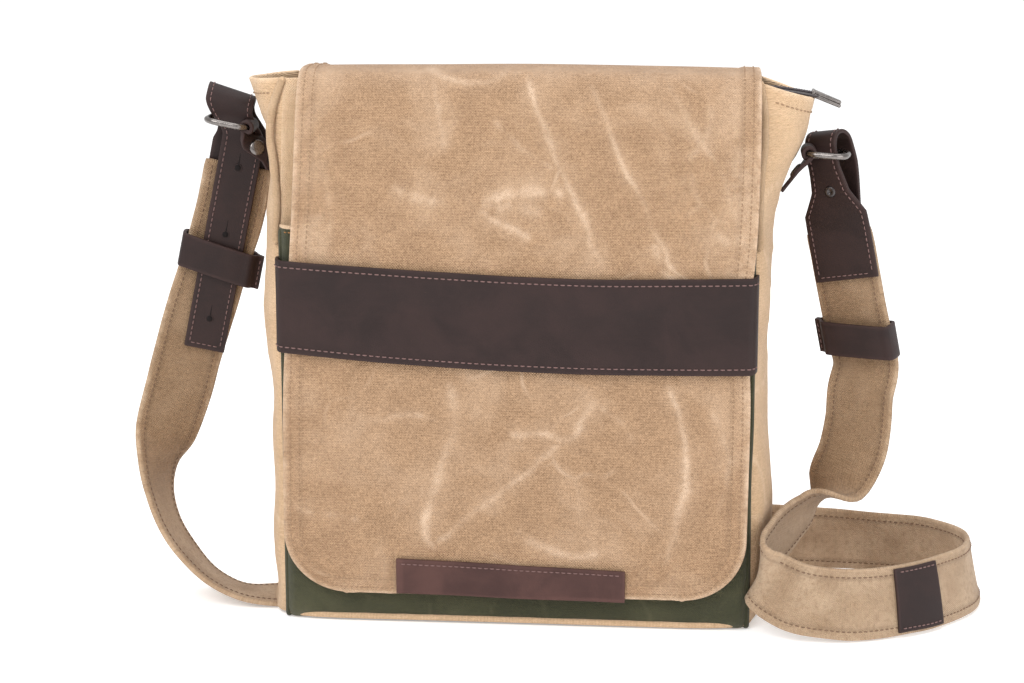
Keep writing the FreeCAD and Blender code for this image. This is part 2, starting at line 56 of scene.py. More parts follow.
# Thickness of the sheets, in millimetres.
WALL_GAUGE, GUSSET_GAUGE, POCKET_GAUGE, BINDING_GAUGE, FACING_GAUGE = 1.6, 1.5, 1.4, 0.9, 1.3
FLAP_GAUGE, STRAP_GAUGE, STRAP_HEM, LINING_GAUGE, TAPE_GAUGE, TAIL_GAUGE = 2.2, 2.4, 0.5, 0.7, 0.8, 0.9
BAND_GAUGE, FOOT_TAB_GAUGE, STRIP_GAUGE, RING_TAB_GAUGE, KEEPER_GAUGE, PATCH_GAUGE = 2.1, 1.9, 2.2, 2.3, 1.9, 1.7
BOARD_GAUGE, BASE_GAUGE = 1.6, 4.4


# ---------------------------------------------------------------- numbers and curves


def smooth_curve(keys):
    """A smooth function through (place, value) pairs; a value may be a number or a point."""
    places = np.array([k[0] for k in keys], float)
    values = np.array([np.atleast_1d(k[1]) for k in keys], float)
    slopes = np.zeros_like(values)
    step = np.diff(places)[:, None]
    rate = np.diff(values, axis=0) / step
    slopes[1:-1] = (rate[:-1] * step[1:] + rate[1:] * step[:-1]) / (step[1:] + step[:-1])
    slopes[0], slopes[-1] = rate[0], rate[-1]

    def value(at):
        at = np.asarray(at, float)
        flat = np.clip(at.ravel(), places[0], places[-1])
        i = np.clip(np.searchsorted(places, flat, side="right") - 1, 0, len(places) - 2)
        h = (places[i + 1] - places[i])[:, None]
        s = ((flat - places[i])[:, None]) / h
        out = (
            values[i] * (2 * s**3 - 3 * s**2 + 1)
            + values[i + 1] * (3 * s**2 - 2 * s**3)
            + slopes[i] * h * (s**3 - 2 * s**2 + s)
            + slopes[i + 1] * h * (s**3 - s**2)
        )
        out = out.reshape(at.shape + (values.shape[1],))
        return out[..., 0] if values.shape[1] == 1 else out

    return value


def lattice(ix, iy, iz, seed):
    """A repeatable number from -1 to 1 for each cell corner."""
    h = (ix * 374761393 + iy * 668265263 + iz * 1442695041 + seed * 974634777) & 0xFFFFFFFF
    h = ((h ^ (h >> 13)) * 1274126177) & 0xFFFFFFFF
    return ((h ^ (h >> 16)) & 0xFFFF) / 32767.5 - 1


def noise(x, y, z, seed=0):
    """Smooth noise from -1 to 1, one cell per unit."""
    x, y, z = np.broadcast_arrays(np.asarray(x, float), np.asarray(y, float), np.asarray(z, float))
    ix, iy, iz = (np.floor(a).astype(np.int64) for a in (x, y, z))
    fx, fy, fz = (a - i for a, i in ((x, ix), (y, iy), (z, iz)))
    fx, fy, fz = (f * f * (3 - 2 * f) for f in (fx, fy, fz))
    total = 0
    for dx in (0, 1):
        for dy in (0, 1):
            for dz in (0, 1):
                weight = (fx if dx else 1 - fx) * (fy if dy else 1 - fy) * (fz if dz else 1 - fz)
                total = total + weight * lattice(ix + dx, iy + dy, iz + dz, seed)
    return total


def stack(*parts):
    """Arrays side by side along a new last axis, as when coordinates make points."""
    return np.stack(np.broadcast_arrays(*parts), axis=-1)


def grid(across, up):
    """Two coordinates over a grid, each from (first, last, count)."""
    return np.meshgrid(np.linspace(*across), np.linspace(*up))


def unit(v):
    """Vectors scaled to length one."""
    return v / np.maximum(np.linalg.norm(v, axis=-1, keepdims=True), 1e-9)


def distance_along(points):
    """The distance along a line at each of its points."""
    return np.concatenate([[0], np.cumsum(np.linalg.norm(np.diff(points, axis=0), axis=1))])


def points_at(at, run, points):
    """Points at distances along a line of points."""
    return stack(*[np.interp(at, run, points[:, k]) for k in range(3)])


def bump(value, centre, width):
    """A soft hump of height one round a centre."""
    return np.exp(-(((value - centre) / width) ** 2))


def ease(value, low, high):
    """0 below low, 1 above high, smooth between."""
    t = np.clip((value - low) / (high - low), 0, 1)
    return t * t * (3 - 2 * t)


# ---------------------------------------------------------------- meshes


def wear_and_shade_marks(shape, pale=0.0, rubbed=0.0, painted_shade=0.0):
    """Marks over a grid of points: pale creases and rubbed edges as wear, and painted shade as darkening."""
    marks = np.zeros(shape + (3,))
    marks[..., 0], marks[..., 1], marks[..., 2] = pale, rubbed, painted_shade
    return marks


def ring_quads(index):
    """Faces between successive closed rings of vertex numbers."""
    following = np.roll(index, -1, axis=1)
    return stack(index[:-1], following[:-1], following[1:], index[1:]).reshape(-1, 4)


def add_mesh(name, mesh, material):
    """A smooth-shaded object in the scene from a mesh."""
    mesh.polygons.foreach_set("use_smooth", [True] * len(mesh.polygons))
    mesh.materials.append(material)
    mesh.validate()
    obj = bpy.data.objects.new(name, mesh)
    bpy.context.scene.collection.objects.link(obj)
    return obj


def make_object(name, verts, faces, material, uvs=None, marks=None):
    """A mesh object from millimetre vertices, with a UV map in metres and marks per vertex: wear, and painted shade."""
    mesh = bpy.data.meshes.new(name)
    mesh.from_pydata((np.asarray(verts, float) * MM).tolist(), [], [tuple(int(i) for i in f) for f in faces])
    loops = np.empty(len(mesh.loops), np.int32)
    mesh.loops.foreach_get("vertex_index", loops)
    if uvs is not None:
        layer = mesh.uv_layers.new(name="UVMap")
        layer.data.foreach_set("uv", (np.asarray(uvs, float)[loops] * MM).astype(np.float32).ravel())
    colour = mesh.color_attributes.new("Marks", "FLOAT_COLOR", "POINT")
    values = np.zeros((len(verts), 4), np.float32)
    values[:, 3] = 1
    if marks is not None:
        values[:, : marks.shape[1]] = marks
    colour.data.foreach_set("color", values.ravel())
    return add_mesh(name, mesh, material)


SOFT_EDGE = ((0.34, 0.36), (0.5, 0.0), (0.34, -0.36))
CUT_EDGE = ((0.14, 0.44), (0.2, 0.0), (0.14, -0.44))


def grid_normals(middle):
    """Unit normals of a grid of points, and the ways along its rows and columns."""
    along = np.gradient(middle, axis=0)
    across = np.gradient(middle, axis=1)
    return unit(np.cross(along, across)), unit(along), unit(across)


def thick_sheet(name, middle, gauge, material, uv=None, marks=None, edge=SOFT_EDGE, lift=None):
    """A closed sheet of some thickness round a grid of middle points, with rounded edges."""
    rows, cols = middle.shape[:2]
    normal, along, across = grid_normals(middle)
    gauge = np.broadcast_to(np.asarray(gauge, float), (rows, cols))[..., None]
    top = middle + normal * gauge / 2
    if lift is not None:
        top = top + normal * lift[..., None]
    bottom = middle - normal * gauge / 2
    if uv is None:
        run = distance_along(middle[:, cols // 2])
        breadth = distance_along(middle[rows // 2])
        uv = stack(breadth[None, :], run[:, None])
    ring = (
        [(0, j) for j in range(cols)]
        + [(i, cols - 1) for i in range(1, rows)]
        + [(rows - 1, j) for j in range(cols - 2, -1, -1)]
        + [(i, 0) for i in range(rows - 2, 0, -1)]
    )
    ri, rj = rim = tuple(np.array(ring).T)
    out = along[rim] * ((ri == rows - 1) * 1.0 - (ri == 0))[:, None]
    out = unit(out + across[rim] * ((rj == cols - 1) * 1.0 - (rj == 0))[:, None])
    count = rows * cols
    verts = [top.reshape(-1, 3), bottom.reshape(-1, 3)]
    uvs = [uv.reshape(-1, 2), uv.reshape(-1, 2)]
    for outward, up in edge:
        centre, depth = (top[rim] + bottom[rim]) / 2, top[rim] - bottom[rim]
        verts.append(centre + out * gauge[rim] * outward + depth * up)
        uvs.append(uv[rim] + outward * 0.7)
    index = np.arange(count).reshape(rows, cols)
    quads = stack(index[:-1, :-1], index[1:, :-1], index[1:, 1:], index[:-1, 1:]).reshape(-1, 4)
    faces = [quads, quads[:, ::-1] + count]
    size = len(ring)
    loops = [index[rim]] + [2 * count + k * size + np.arange(size) for k in range(len(edge))]
    loops.append(index[rim] + count)
    for upper, lower in zip(loops[:-1], loops[1:]):
        faces.append(stack(upper, np.roll(upper, -1), np.roll(lower, -1), lower))
    mark_rows = None
    if marks is not None:
        flat = marks.reshape(count, -1)
        mark_rows = np.concatenate([flat, flat] + [marks[rim]] * len(edge))
    return make_object(name, np.concatenate(verts), np.concatenate(faces), material, np.concatenate(uvs), mark_rows)


def frames_along(points, up, closed=False):
    """Unit tangents, sides and normals along a line, with the normal kept near up."""
    if closed:
        tangent = unit(np.gradient(np.concatenate([points[-1:], points, points[:1]]), axis=0))[1:-1]
    else:
        tangent = unit(np.gradient(points, axis=0))
    up = np.broadcast_to(np.asarray(up, float), points.shape)
    side = unit(np.cross(tangent, up))
    return tangent, side, np.cross(side, tangent)


def resample(points, count):
    """Evenly spaced points along a line."""
    run = distance_along(points)
    return points_at(np.linspace(0, run[-1], count), run, points)


def spline(points, count):
    """A smooth line through points, evenly spaced."""
    points = np.asarray(points, float)
    run = distance_along(points)
    line = smooth_curve(list(zip(run, points)))(np.linspace(0, run[-1], count * 4))
    return resample(line, count)


def tube(name, points, radius, material, sides=12, closed=False, up=(0, 0, 1), squash=1.0):
    """A round bar along a line, with rounded ends when it is open."""
    points = np.asarray(points, float)
    tangent, side, normal = frames_along(points, up, closed)
    radius = np.broadcast_to(np.asarray(radius, float), (len(points),)).copy()
    angle = np.linspace(0, 2 * np.pi, sides, endpoint=False)
    if not closed:
        dome = np.array([0.5, 1.0, 1.4])
        out, shrink = np.sin(dome)[:, None], np.cos(dome)
        first = points[0] - tangent[0] * radius[0] * out[::-1]
        last = points[-1] + tangent[-1] * radius[-1] * out
        points = np.concatenate([first, points, last])
        radius = np.concatenate([radius[0] * shrink[::-1], radius, radius[-1] * shrink])
        side = np.concatenate([side[:1]] * 3 + [side] + [side[-1:]] * 3)
        normal = np.concatenate([normal[:1]] * 3 + [normal] + [normal[-1:]] * 3)
    ring = (
        side[:, None] * np.cos(angle)[None, :, None] + normal[:, None] * np.sin(angle)[None, :, None] * squash
    ) * radius[:, None, None]
    verts = (points[:, None] + ring).reshape(-1, 3)
    count = len(points)
    index = np.arange(count * sides).reshape(count, sides)
    if closed:
        faces = ring_quads(np.concatenate([index, index[:1]])).tolist()
    else:
        faces = ring_quads(index).tolist()
        faces += [index[0][::-1].tolist(), index[-1].tolist()]
    uvs = stack(angle[None, :] * 2.0, np.arange(count)[:, None]).reshape(-1, 2)
    return make_object(name, verts, faces, material, uvs)


STITCH_RISE = 0.25


def stitch_row(points, normals, pitch, length, radius=0.36):
    """Vertices and faces of a row of thread stitches that lie on a surface."""
    points = np.asarray(points, float)
    run = distance_along(points)
    normals = np.broadcast_to(np.asarray(normals, float), points.shape)
    centres = np.arange(pitch * 0.6, run[-1] - pitch * 0.4, pitch)
    sides, stations = 6, np.array([-0.5, -0.38, 0.0, 0.38, 0.5])
    swell = np.array([0.35, 0.85, 1.0, 0.85, 0.35])
    lift = np.array([-0.9, 0.05, 1.0, 0.05, -0.9])
    normal = unit(points_at(centres, run, normals))
    angle = np.linspace(0, 2 * np.pi, sides, endpoint=False)
    rings = []
    tangent = unit(points_at(centres + 0.4, run, points) - points_at(centres - 0.4, run, points))
    side = unit(np.cross(tangent, normal))
    for k, station in enumerate(stations):
        middle = points_at(centres + station * length, run, points) + normal * (lift[k] * STITCH_RISE)
        ring = (
            side[:, None] * np.cos(angle)[None, :, None] + normal[:, None] * np.sin(angle)[None, :, None]
        ) * (radius * swell[k])
        rings.append(middle[:, None] + ring)
    verts = np.stack(rings, axis=1).reshape(-1, 3)
    count, per = len(centres), len(stations) * sides
    index = np.arange(per).reshape(len(stations), sides)
    faces = (ring_quads(index)[None] + (np.arange(count) * per)[:, None, None]).reshape(-1, 4)
    return verts, faces


def stitches(name, rows, material):
    """One object from several stitch rows, each (points, normals, (pitch, length and perhaps radius))."""
    verts, faces, total = [], [], 0
    for points, normals, thread in rows:
        v, f = stitch_row(points, normals, *thread)
        verts.append(v)
        faces.append(f + total)
        total += len(v)
    return make_object(name, np.concatenate(verts), np.concatenate(faces), material)


def lathe(name, profile, centre, axis, material, sides=32):
    """A round piece from (radius, height) pairs, turned about an axis at a centre."""
    axis = unit(np.asarray(axis, float))
    side = unit(np.cross(axis, [0.3, 0.5, 0.81]))
    other = np.cross(axis, side)
    angle = np.linspace(0, 2 * np.pi, sides, endpoint=False)
    verts = []
    for radius, height in profile:
        ring = side * np.cos(angle)[:, None] + other * np.sin(angle)[:, None]
        verts.append(np.asarray(centre) + axis * height + ring * max(radius, 0.02))
    index = np.arange(len(profile) * sides).reshape(len(profile), sides)
    faces = ring_quads(index).tolist()
    faces += [index[0][::-1].tolist(), index[-1].tolist()]
    return make_object(name, np.concatenate(verts), faces, material)


def join(name, objects):
    """One object from several that move together."""
    bpy.ops.object.select_all(action="DESELECT")
    for obj in objects:
        obj.select_set(True)
    bpy.context.view_layer.objects.active = objects[0]
    bpy.ops.object.join()
    objects[0].name = name
    return objects[0]


# ---------------------------------------------------------------- materials


def shade(colour, factor):
    """A darker or lighter colour."""
    return tuple(min(1.0, c * factor) for c in colour)


class Nodes:
    """Short ways to add and link shader nodes."""

    def __init__(self, name):
        self.material = bpy.data.materials.new(name)
        self.material.use_nodes = True
        self.tree = self.material.node_tree
        self.tree.nodes.clear()
        self.out = self.tree.nodes.new("ShaderNodeOutputMaterial")
        self.shader = self.tree.nodes.new("ShaderNodeBsdfPrincipled")
        self.tree.links.new(self.shader.outputs[0], self.out.inputs[0])

    def put(self, socket, value):
        if isinstance(value, bpy.types.NodeSocket):
            self.tree.links.new(value, socket)
        else:
            socket.default_value = value

    def math(self, operation, a, b=0.0, c=0.0, clamp=False):
        node = self.tree.nodes.new("ShaderNodeMath")
        node.operation = operation
        node.use_clamp = clamp
        for socket, value in zip(node.inputs, (a, b, c)):
            self.put(socket, value)
        return node.outputs[0]

    def mul(self, a, b):
        return self.math("MULTIPLY", a, b)

    def add(self, a, b):
        return self.math("ADD", a, b)

    def scaled(self, vector, scale):
        node = self.tree.nodes.new("ShaderNodeMapping")
        self.put(node.inputs["Vector"], vector)
        node.inputs["Scale"].default_value = scale
        return node.outputs[0]

    def noise(self, vector, scale, detail=3.0, rough=0.55, distortion=0.0):
        node = self.tree.nodes.new("ShaderNodeTexNoise")
        self.put(node.inputs["Vector"], vector)
        node.inputs["Scale"].default_value = scale
        node.inputs["Detail"].default_value = detail
        node.inputs["Roughness"].default_value = rough
        node.inputs["Distortion"].default_value = distortion
        return node.outputs[0]

    def voronoi(self, vector, scale, feature="F1"):
        node = self.tree.nodes.new("ShaderNodeTexVoronoi")
        node.feature = feature
        self.put(node.inputs["Vector"], vector)
        node.inputs["Scale"].default_value = scale
        return node.outputs["Distance"]

    def swirled(self, vector, scale, amount):
        """A vector pushed about by coloured noise."""
        swirl = self.tree.nodes.new("ShaderNodeTexNoise")
        self.put(swirl.inputs["Vector"], vector)
        swirl.inputs["Scale"].default_value = scale
        push = self.tree.nodes.new("ShaderNodeVectorMath")
        push.operation = "SCALE"
        self.put(push.inputs[0], swirl.outputs["Color"])
        push.inputs["Scale"].default_value = amount
        warped = self.tree.nodes.new("ShaderNodeVectorMath")
        warped.operation = "ADD"
        self.put(warped.inputs[0], vector)
        self.put(warped.inputs[1], push.outputs[0])
        return warped.outputs[0]

    def ramp(self, factor, low, high, a=0.0, b=1.0):
        node = self.tree.nodes.new("ShaderNodeMapRange")
        node.interpolation_type = "SMOOTHSTEP"
        for socket, value in zip(node.inputs[:5], (factor, low, high, a, b)):
            self.put(socket, value)
        return node.outputs[0]

    def mix(self, factor, a, b):
        node = self.tree.nodes.new("ShaderNodeMix")
        node.data_type = "RGBA"
        self.put(node.inputs[0], factor)
        self.put(node.inputs[6], a if isinstance(a, bpy.types.NodeSocket) else (*a, 1.0))
        self.put(node.inputs[7], b if isinstance(b, bpy.types.NodeSocket) else (*b, 1.0))
        return node.outputs[2]

    def uv(self):
        node = self.tree.nodes.new("ShaderNodeUVMap")
        node.uv_map = "UVMap"
        return node.outputs[0]

    def parts_of(self, vector):
        node = self.tree.nodes.new("ShaderNodeSeparateXYZ")
        self.put(node.inputs[0], vector)
        return node.outputs

    def place(self):
        return self.tree.nodes.new("ShaderNodeTexCoord").outputs["Object"]

    def marks(self):
        node = self.tree.nodes.new("ShaderNodeAttribute")
        node.attribute_name = "Marks"
        split = self.tree.nodes.new("ShaderNodeSeparateColor")
        self.tree.links.new(node.outputs["Color"], split.inputs[0])
        return split.outputs

    def finish(self, colour, rough, height=None, depth=0.0004, strength=0.5, **fixed):
        self.put(self.shader.inputs["Base Color"], colour)
        self.put(self.shader.inputs["Roughness"], rough)
        for name, value in fixed.items():
            self.shader.inputs[name.replace("_", " ")].default_value = value
        if height is not None:
            node = self.tree.nodes.new("ShaderNodeBump")
            node.inputs["Strength"].default_value = strength
            node.inputs["Distance"].default_value = depth
            self.put(node.inputs["Height"], height)
            self.tree.links.new(node.outputs[0], self.shader.inputs["Normal"])
        return self.material


def canvas_material(name, deep, body, pale, crackle=0.5, pitch=0.95, wear=0.8):
    """Waxed woven canvas: threads, slubs, cloudy wax, pale creases and rubbed edges, and painted shade from the marks'
    third channel.
    """
    n = Nodes(name)
    uv = n.uv()
    split = n.parts_of(uv)
    turn = 2 * math.pi / (pitch * MM)
    wobble = n.mul(n.noise(uv, 260.0, 2.0), 1.6)
    warp = n.math("SINE", n.add(n.mul(split[0], turn), wobble))
    weft = n.math("SINE", n.add(n.mul(split[1], turn), wobble))
    weave = n.math("MULTIPLY_ADD", n.mul(warp, weft), 0.5, 0.5)
    slub_across = n.noise(n.scaled(uv, (230.0, 1100.0, 1.0)), 1.0, 2.0, 0.65)
    slub_along = n.noise(n.scaled(uv, (1100.0, 330.0, 1.0)), 1.0, 2.0, 0.65)
    slub = n.mul(n.add(slub_across, slub_along), 0.5)
    grain = n.noise(uv, 1500.0, 1.0, 0.7)
    cloud = n.noise(uv, 22.0, 4.0, 0.6, 0.6)
    patch = n.noise(uv, 75.0, 3.0, 0.6, 0.3)
    red, green, painted_shade_mask = n.marks()[:3]
    rib = n.math("MULTIPLY_ADD", weft, 0.5, 0.5)
    fleck = n.ramp(n.noise(uv, 620.0, 2.0, 0.75), 0.32, 0.68)
    tone = n.mul(n.ramp(slub, 0.36, 0.64), 0.27)
    for part, weight in ((weave, 0.22), (rib, 0.12), (fleck, 0.27), (n.ramp(patch, 0.3, 0.7), 0.14)):
        tone = n.add(tone, n.mul(part, weight))
    colour = n.mix(tone, deep, body)
    colour = n.mix(n.mul(n.ramp(cloud, 0.42, 0.78), 0.28), colour, pale)
    crack = n.ramp(n.voronoi(n.swirled(uv, 20.0, 0.03), 26.0, "DISTANCE_TO_EDGE"), 0.0, 0.05, 1.0, 0.0)
    crack = n.mul(crack, n.ramp(n.noise(uv, 13.0, 3.0, 0.6), 0.52, 0.72))
    crack = n.mul(crack, crackle)
    rubbed = n.mul(green, n.ramp(n.noise(uv, 160.0, 3.0, 0.7), 0.3, 0.65, 0.25, 1.0))
    crease = n.mul(red, n.ramp(n.noise(uv, 330.0, 3.0, 0.7), 0.25, 0.6, 0.4, 1.0))
    pale_share = n.math("MAXIMUM", n.math("MAXIMUM", crack, crease), n.mul(rubbed, wear), clamp=True)
    colour = n.mix(pale_share, colour, pale)
    # Painted shade: the marks' third channel darkens the canvas towards a deep tone.
    colour = n.mix(n.mul(painted_shade_mask, 0.75), colour, shade(deep, 0.35))
    colour = n.mix(n.mul(n.ramp(grain, 0.35, 0.7), 0.22), colour, shade(body, 0.72))
    rough = n.ramp(n.add(n.mul(cloud, 0.6), n.mul(slub, 0.4)), 0.3, 0.7, 0.62, 0.86)
    height = n.add(n.mul(weave, 0.9), n.mul(slub, 1.5))
    height = n.add(height, n.mul(grain, 0.35))
    return n.finish(
        colour, rough, height, 0.00055, 0.85, Specular_IOR_Level=0.28, Sheen_Weight=0.12, Sheen_Roughness=0.5
    )


def leather_material(name, dark, light, gloss=0.42):
    """Oiled leather: fine grain, cloudy colour, soft sheen, lighter rubbed edges and scuffs, and painted shade from the
    marks' third channel.
    """
    n = Nodes(name)
    at = n.place()
    _, green, painted_shade_mask = n.marks()[:3]
    cells = n.voronoi(at, 1400.0)
    fine = n.noise(at, 2600.0, 2.0, 0.6)
    pores = n.ramp(n.noise(at, 900.0, 3.0, 0.7), 0.6, 0.75)
    cloud = n.noise(at, 34.0, 4.0, 0.6, 0.4)
    streak = n.noise(n.scaled(at, (60.0, 60.0, 420.0)), 1.0, 3.0, 0.6)
    colour = n.mix(n.ramp(cloud, 0.32, 0.72), dark, light)
    scuff = n.ramp(n.noise(n.scaled(at, (300.0, 300.0, 1400.0)), 1.0, 2.0, 0.8), 0.66, 0.8)
    # The marks' third channel is painted shade, mixed in as a near-black layer.
    layers = [(n.ramp(streak, 0.5, 0.8), 0.25, light), (green, 0.55, shade(light, 2.1))]
    layers += [(scuff, 0.22, shade(light, 2.6)), (pores, 0.3, shade(dark, 0.5)), (painted_shade_mask, 0.7, shade(dark, 0.35))]
    for share, strength, over in layers:
        colour = n.mix(n.mul(share, strength), colour, over)
    rough = n.add(n.ramp(cloud, 0.3, 0.7, gloss, gloss + 0.14), n.mul(fine, 0.12))
    height = n.add(n.mul(cells, 0.8), n.mul(fine, 0.7))
    height = n.math("SUBTRACT", height, n.mul(pores, 0.35))
    return n.finish(colour, rough, height, 0.00016, 0.5, Specular_IOR_Level=0.26)


def metal_material(name, colour, rough):
    """Dark polished metal with faint scratches."""
    n = Nodes(name)
    at = n.place()
    scratch = n.noise(n.scaled(at, (2400.0, 300.0, 300.0)), 1.0, 3.0, 0.7)
    cloud = n.noise(at, 160.0, 3.0)
    tint = n.mix(n.ramp(cloud, 0.3, 0.7), shade(colour, 0.8), shade(colour, 1.15))
    shine = n.add(n.ramp(scratch, 0.4, 0.7, rough, rough + 0.1), n.mul(cloud, 0.08))
    return n.finish(tint, shine, scratch, 0.00003, 0.3, Metallic=1.0)


def thread_material(name, colour):
    """Waxed thread with its twist."""
    n = Nodes(name)
    at = n.place()
    twist = n.noise(n.scaled(at, (2200.0, 2200.0, 2200.0)), 1.0, 2.0, 0.7)
    tint = n.mix(n.ramp(twist, 0.3, 0.7), shade(colour, 0.7), colour)
    return n.finish(tint, 0.7, twist, 0.0001, 0.5, Specular_IOR_Level=0.3)


def cloth_material(name, dark, light, pitch=0.8):
    """Plain tight cloth, for lining and zip tape."""
    n = Nodes(name)
    uv = n.uv()
    split = n.parts_of(uv)
    turn = 2 * math.pi / (pitch * MM)
    warp = n.math("SINE", n.mul(split[0], turn))
    weft = n.math("SINE", n.mul(split[1], turn))
    weave = n.math("MULTIPLY_ADD", n.mul(warp, weft), 0.5, 0.5)
    cloud = n.noise(uv, 60.0, 3.0)
    colour = n.mix(n.add(n.mul(weave, 0.5), n.mul(cloud, 0.5)), dark, light)
    return n.finish(colour, n.ramp(cloud, 0.3, 0.7, 0.75, 0.9), weave, 0.0002, 0.6, Sheen_Weight=0.15)


def plastic_material(name, colour):
    """Moulded zip coil."""
    n = Nodes(name)
    cloud = n.noise(n.place(), 700.0, 3.0)
    tint = n.mix(cloud, shade(colour, 0.7), colour)
    return n.finish(tint, n.ramp(cloud, 0.3, 0.7, 0.4, 0.55), cloud, 0.00004, 0.3)


TAN = canvas_material("tan_canvas", (0.15, 0.076, 0.034), (0.565, 0.358, 0.21), (0.76, 0.56, 0.40), pitch=1.5)
# A lighter copy of the tan canvas for the bag's body: partly its own tone, partly painted light that brightens the
# sideways-facing gussets.
TAN_BODY_LIT = canvas_material(
    "tan_canvas_body_lit", (0.40, 0.25, 0.135), (0.76, 0.525, 0.325), (0.84, 0.64, 0.45), crackle=0.2, pitch=1.4, wear=0.6
)
# A darker copy of the tan canvas for the strap: partly its own greyer tone, partly painted shade.
TAN_STRAP_SHADED = canvas_material(
    "tan_strap_shaded", (0.14, 0.078, 0.038), (0.39, 0.25, 0.143), (0.60, 0.44, 0.30), crackle=0.1, pitch=1.3, wear=0.8
)
GREEN = canvas_material(
    "green_canvas", (0.022, 0.023, 0.010), (0.066, 0.066, 0.029), (0.155, 0.145, 0.078), crackle=0.3, wear=0.5
)
LEATHER = leather_material("brown_leather", (0.018, 0.0088, 0.0080), (0.031, 0.0160, 0.0145))
LEATHER_TAB = leather_material("tab_leather", (0.050, 0.022, 0.019), (0.085, 0.040, 0.034), gloss=0.5)
# Painted shade: near-black leather that fills the punched holes and slits.
HOLE_SHADE = leather_material("punched_hole_shade", (0.006, 0.004, 0.004), (0.012, 0.008, 0.008), gloss=0.7)
METAL = metal_material("gunmetal", (0.21, 0.19, 0.18), 0.2)
METAL_DARK = metal_material("dark_metal", (0.10, 0.09, 0.09), 0.32)
THREAD_BROWN = thread_material("thread_brown", (0.22, 0.13, 0.12))
THREAD_TAN = thread_material("thread_tan", (0.36, 0.23, 0.14))
THREAD_DARK = thread_material("thread_dark", (0.20, 0.12, 0.075))
THREAD_ORANGE = thread_material("thread_orange", (0.42, 0.20, 0.07))
LINING = cloth_material("lining_cloth", (0.05, 0.045, 0.03), (0.10, 0.09, 0.06))
ZIP_CLOTH = cloth_material("zip_cloth", (0.018, 0.012, 0.012), (0.045, 0.03, 0.03), 0.6)
ZIP_COIL = plastic_material("zip_coil", (0.05, 0.035, 0.04))
BOARD = plastic_material("board", (0.06, 0.06, 0.06))


# ---------------------------------------------------------------- the bag's shape

FRONT_Y = smooth_curve([(0, -37.6), (10, -38.8), (90, -39.6), (185, -38.6), (245, -34), (284, -25), (303, -20)])
BACK_Y = smooth_curve([(0, 43.6), (10, 45.0), (90, 46.4), (185, 45), (245, 38), (284, 27), (303, 21.5)])
LEFT_OUT = smooth_curve(
    [(0, 143.0), (12, 139.5), (31, 140.6), (90, 140.6), (133, 141.0), (147, 143.2), (207, 143.6), (231, 142)]
    + [(258, 139.0), (270, 140.6), (284, 146.2), (300, 152.0)]
)
RIGHT_OUT = smooth_curve(
    [(0, 136.0), (14, 138.6), (50, 142.0), (97, 140.2), (122, 137.6), (161, 137.2), (184, 139.6), (207, 139.6)]
    + [(219, 138.6), (239, 141.6), (250, 146.0), (258, 149.6), (267, 153.6), (275, 156.0), (284, 157.8), (294, 159.8)]
)
HALF = 129.0


def panel(name, y_of, side, seed, swell):
    """A front or back wall of the shell that swells and creases a little."""
    low, high = 2.0, 300.5
    xx, zz = grid((-HALF, HALF, 108), (low, high, 118))
    belly = (1 - (xx / HALF) ** 4) * np.sin(np.pi * np.clip(zz / 300, 0, 1)) ** 0.8 * swell
    folds = noise(xx / 46, 0, zz / 60, seed) * 0.9 + noise(xx / 17, 0, zz / 21, seed + 1) * 0.28
    drag = bump((np.abs(xx) - HALF + (300 - zz) * 0.35), 0, 9) * ease(zz, 190, 300) * 0.8
    off = belly + (folds + drag) * (1 - (np.abs(xx) / HALF) ** 12)
    yy = y_of(zz) + side * (off - WALL_GAUGE / 2)
    middle = stack(xx, yy, zz)
    if side > 0:
        middle = middle[:, ::-1]
    uv = middle[..., [0, 2]]
    edge_gap = np.minimum(HALF - np.abs(middle[..., 0]), high - middle[..., 2])
    pale = 0.35 * bump(noise(middle[..., 0] / 60, 5, middle[..., 2] / 85, seed), 0.02, 0.022)
    rubbed = (1 - ease(edge_gap, 0, 3.5)) * 0.7
    # Painted shade: the wall darkens over its lowest 10 mm, next to the floor.
    marks = wear_and_shade_marks(edge_gap.shape, pale, rubbed, 0.35 * (1 - ease(middle[..., 2], 0, 10)))
    return thick_sheet(name, middle, WALL_GAUGE, TAN_BODY_LIT, uv, marks)


GUSSET_TOP = 301
GUSSET_SEEDS = {-1: 31, 1: 57}


def gusset_middle(side, out_of, top):
    """Middle surface of a side gusset: rows up the side, columns from the front seam to the back one."""
    tt, vv = grid((0, 1, 46), (0, 1, 112))
    arch = np.sin(np.pi * tt) ** 0.5
    height = 1.6 + vv * ((GUSSET_TOP - (GUSSET_TOP - top) * arch) - 1.6)
    front, back = FRONT_Y(height), BACK_Y(height)
    y = front + 0.8 + tt * (back - front - 1.6)
    reach = out_of(height) - HALF
    x = HALF - 0.4 + reach * arch
    seed = GUSSET_SEEDS[side]
    calm = np.minimum(1, arch * 1.6)
    pleats = np.mod(vv * 11 + 0.6 * tt + noise(tt * 2, vv * 4, 0, seed + 2) * 0.5, 1)
    x = x + calm * (
        noise(tt * 2.2, vv * 9, 0.5, seed) * 1.5
        + noise(tt * 4, vv * 17 + tt * 5, 0.5, seed + 1) * 0.95
        + bump(pleats, 0.5, 0.12) * 0.5 * ease(height, 60, 240)
    )
    middle = stack(side * x, y, height)
    return middle if side > 0 else middle[:, ::-1]


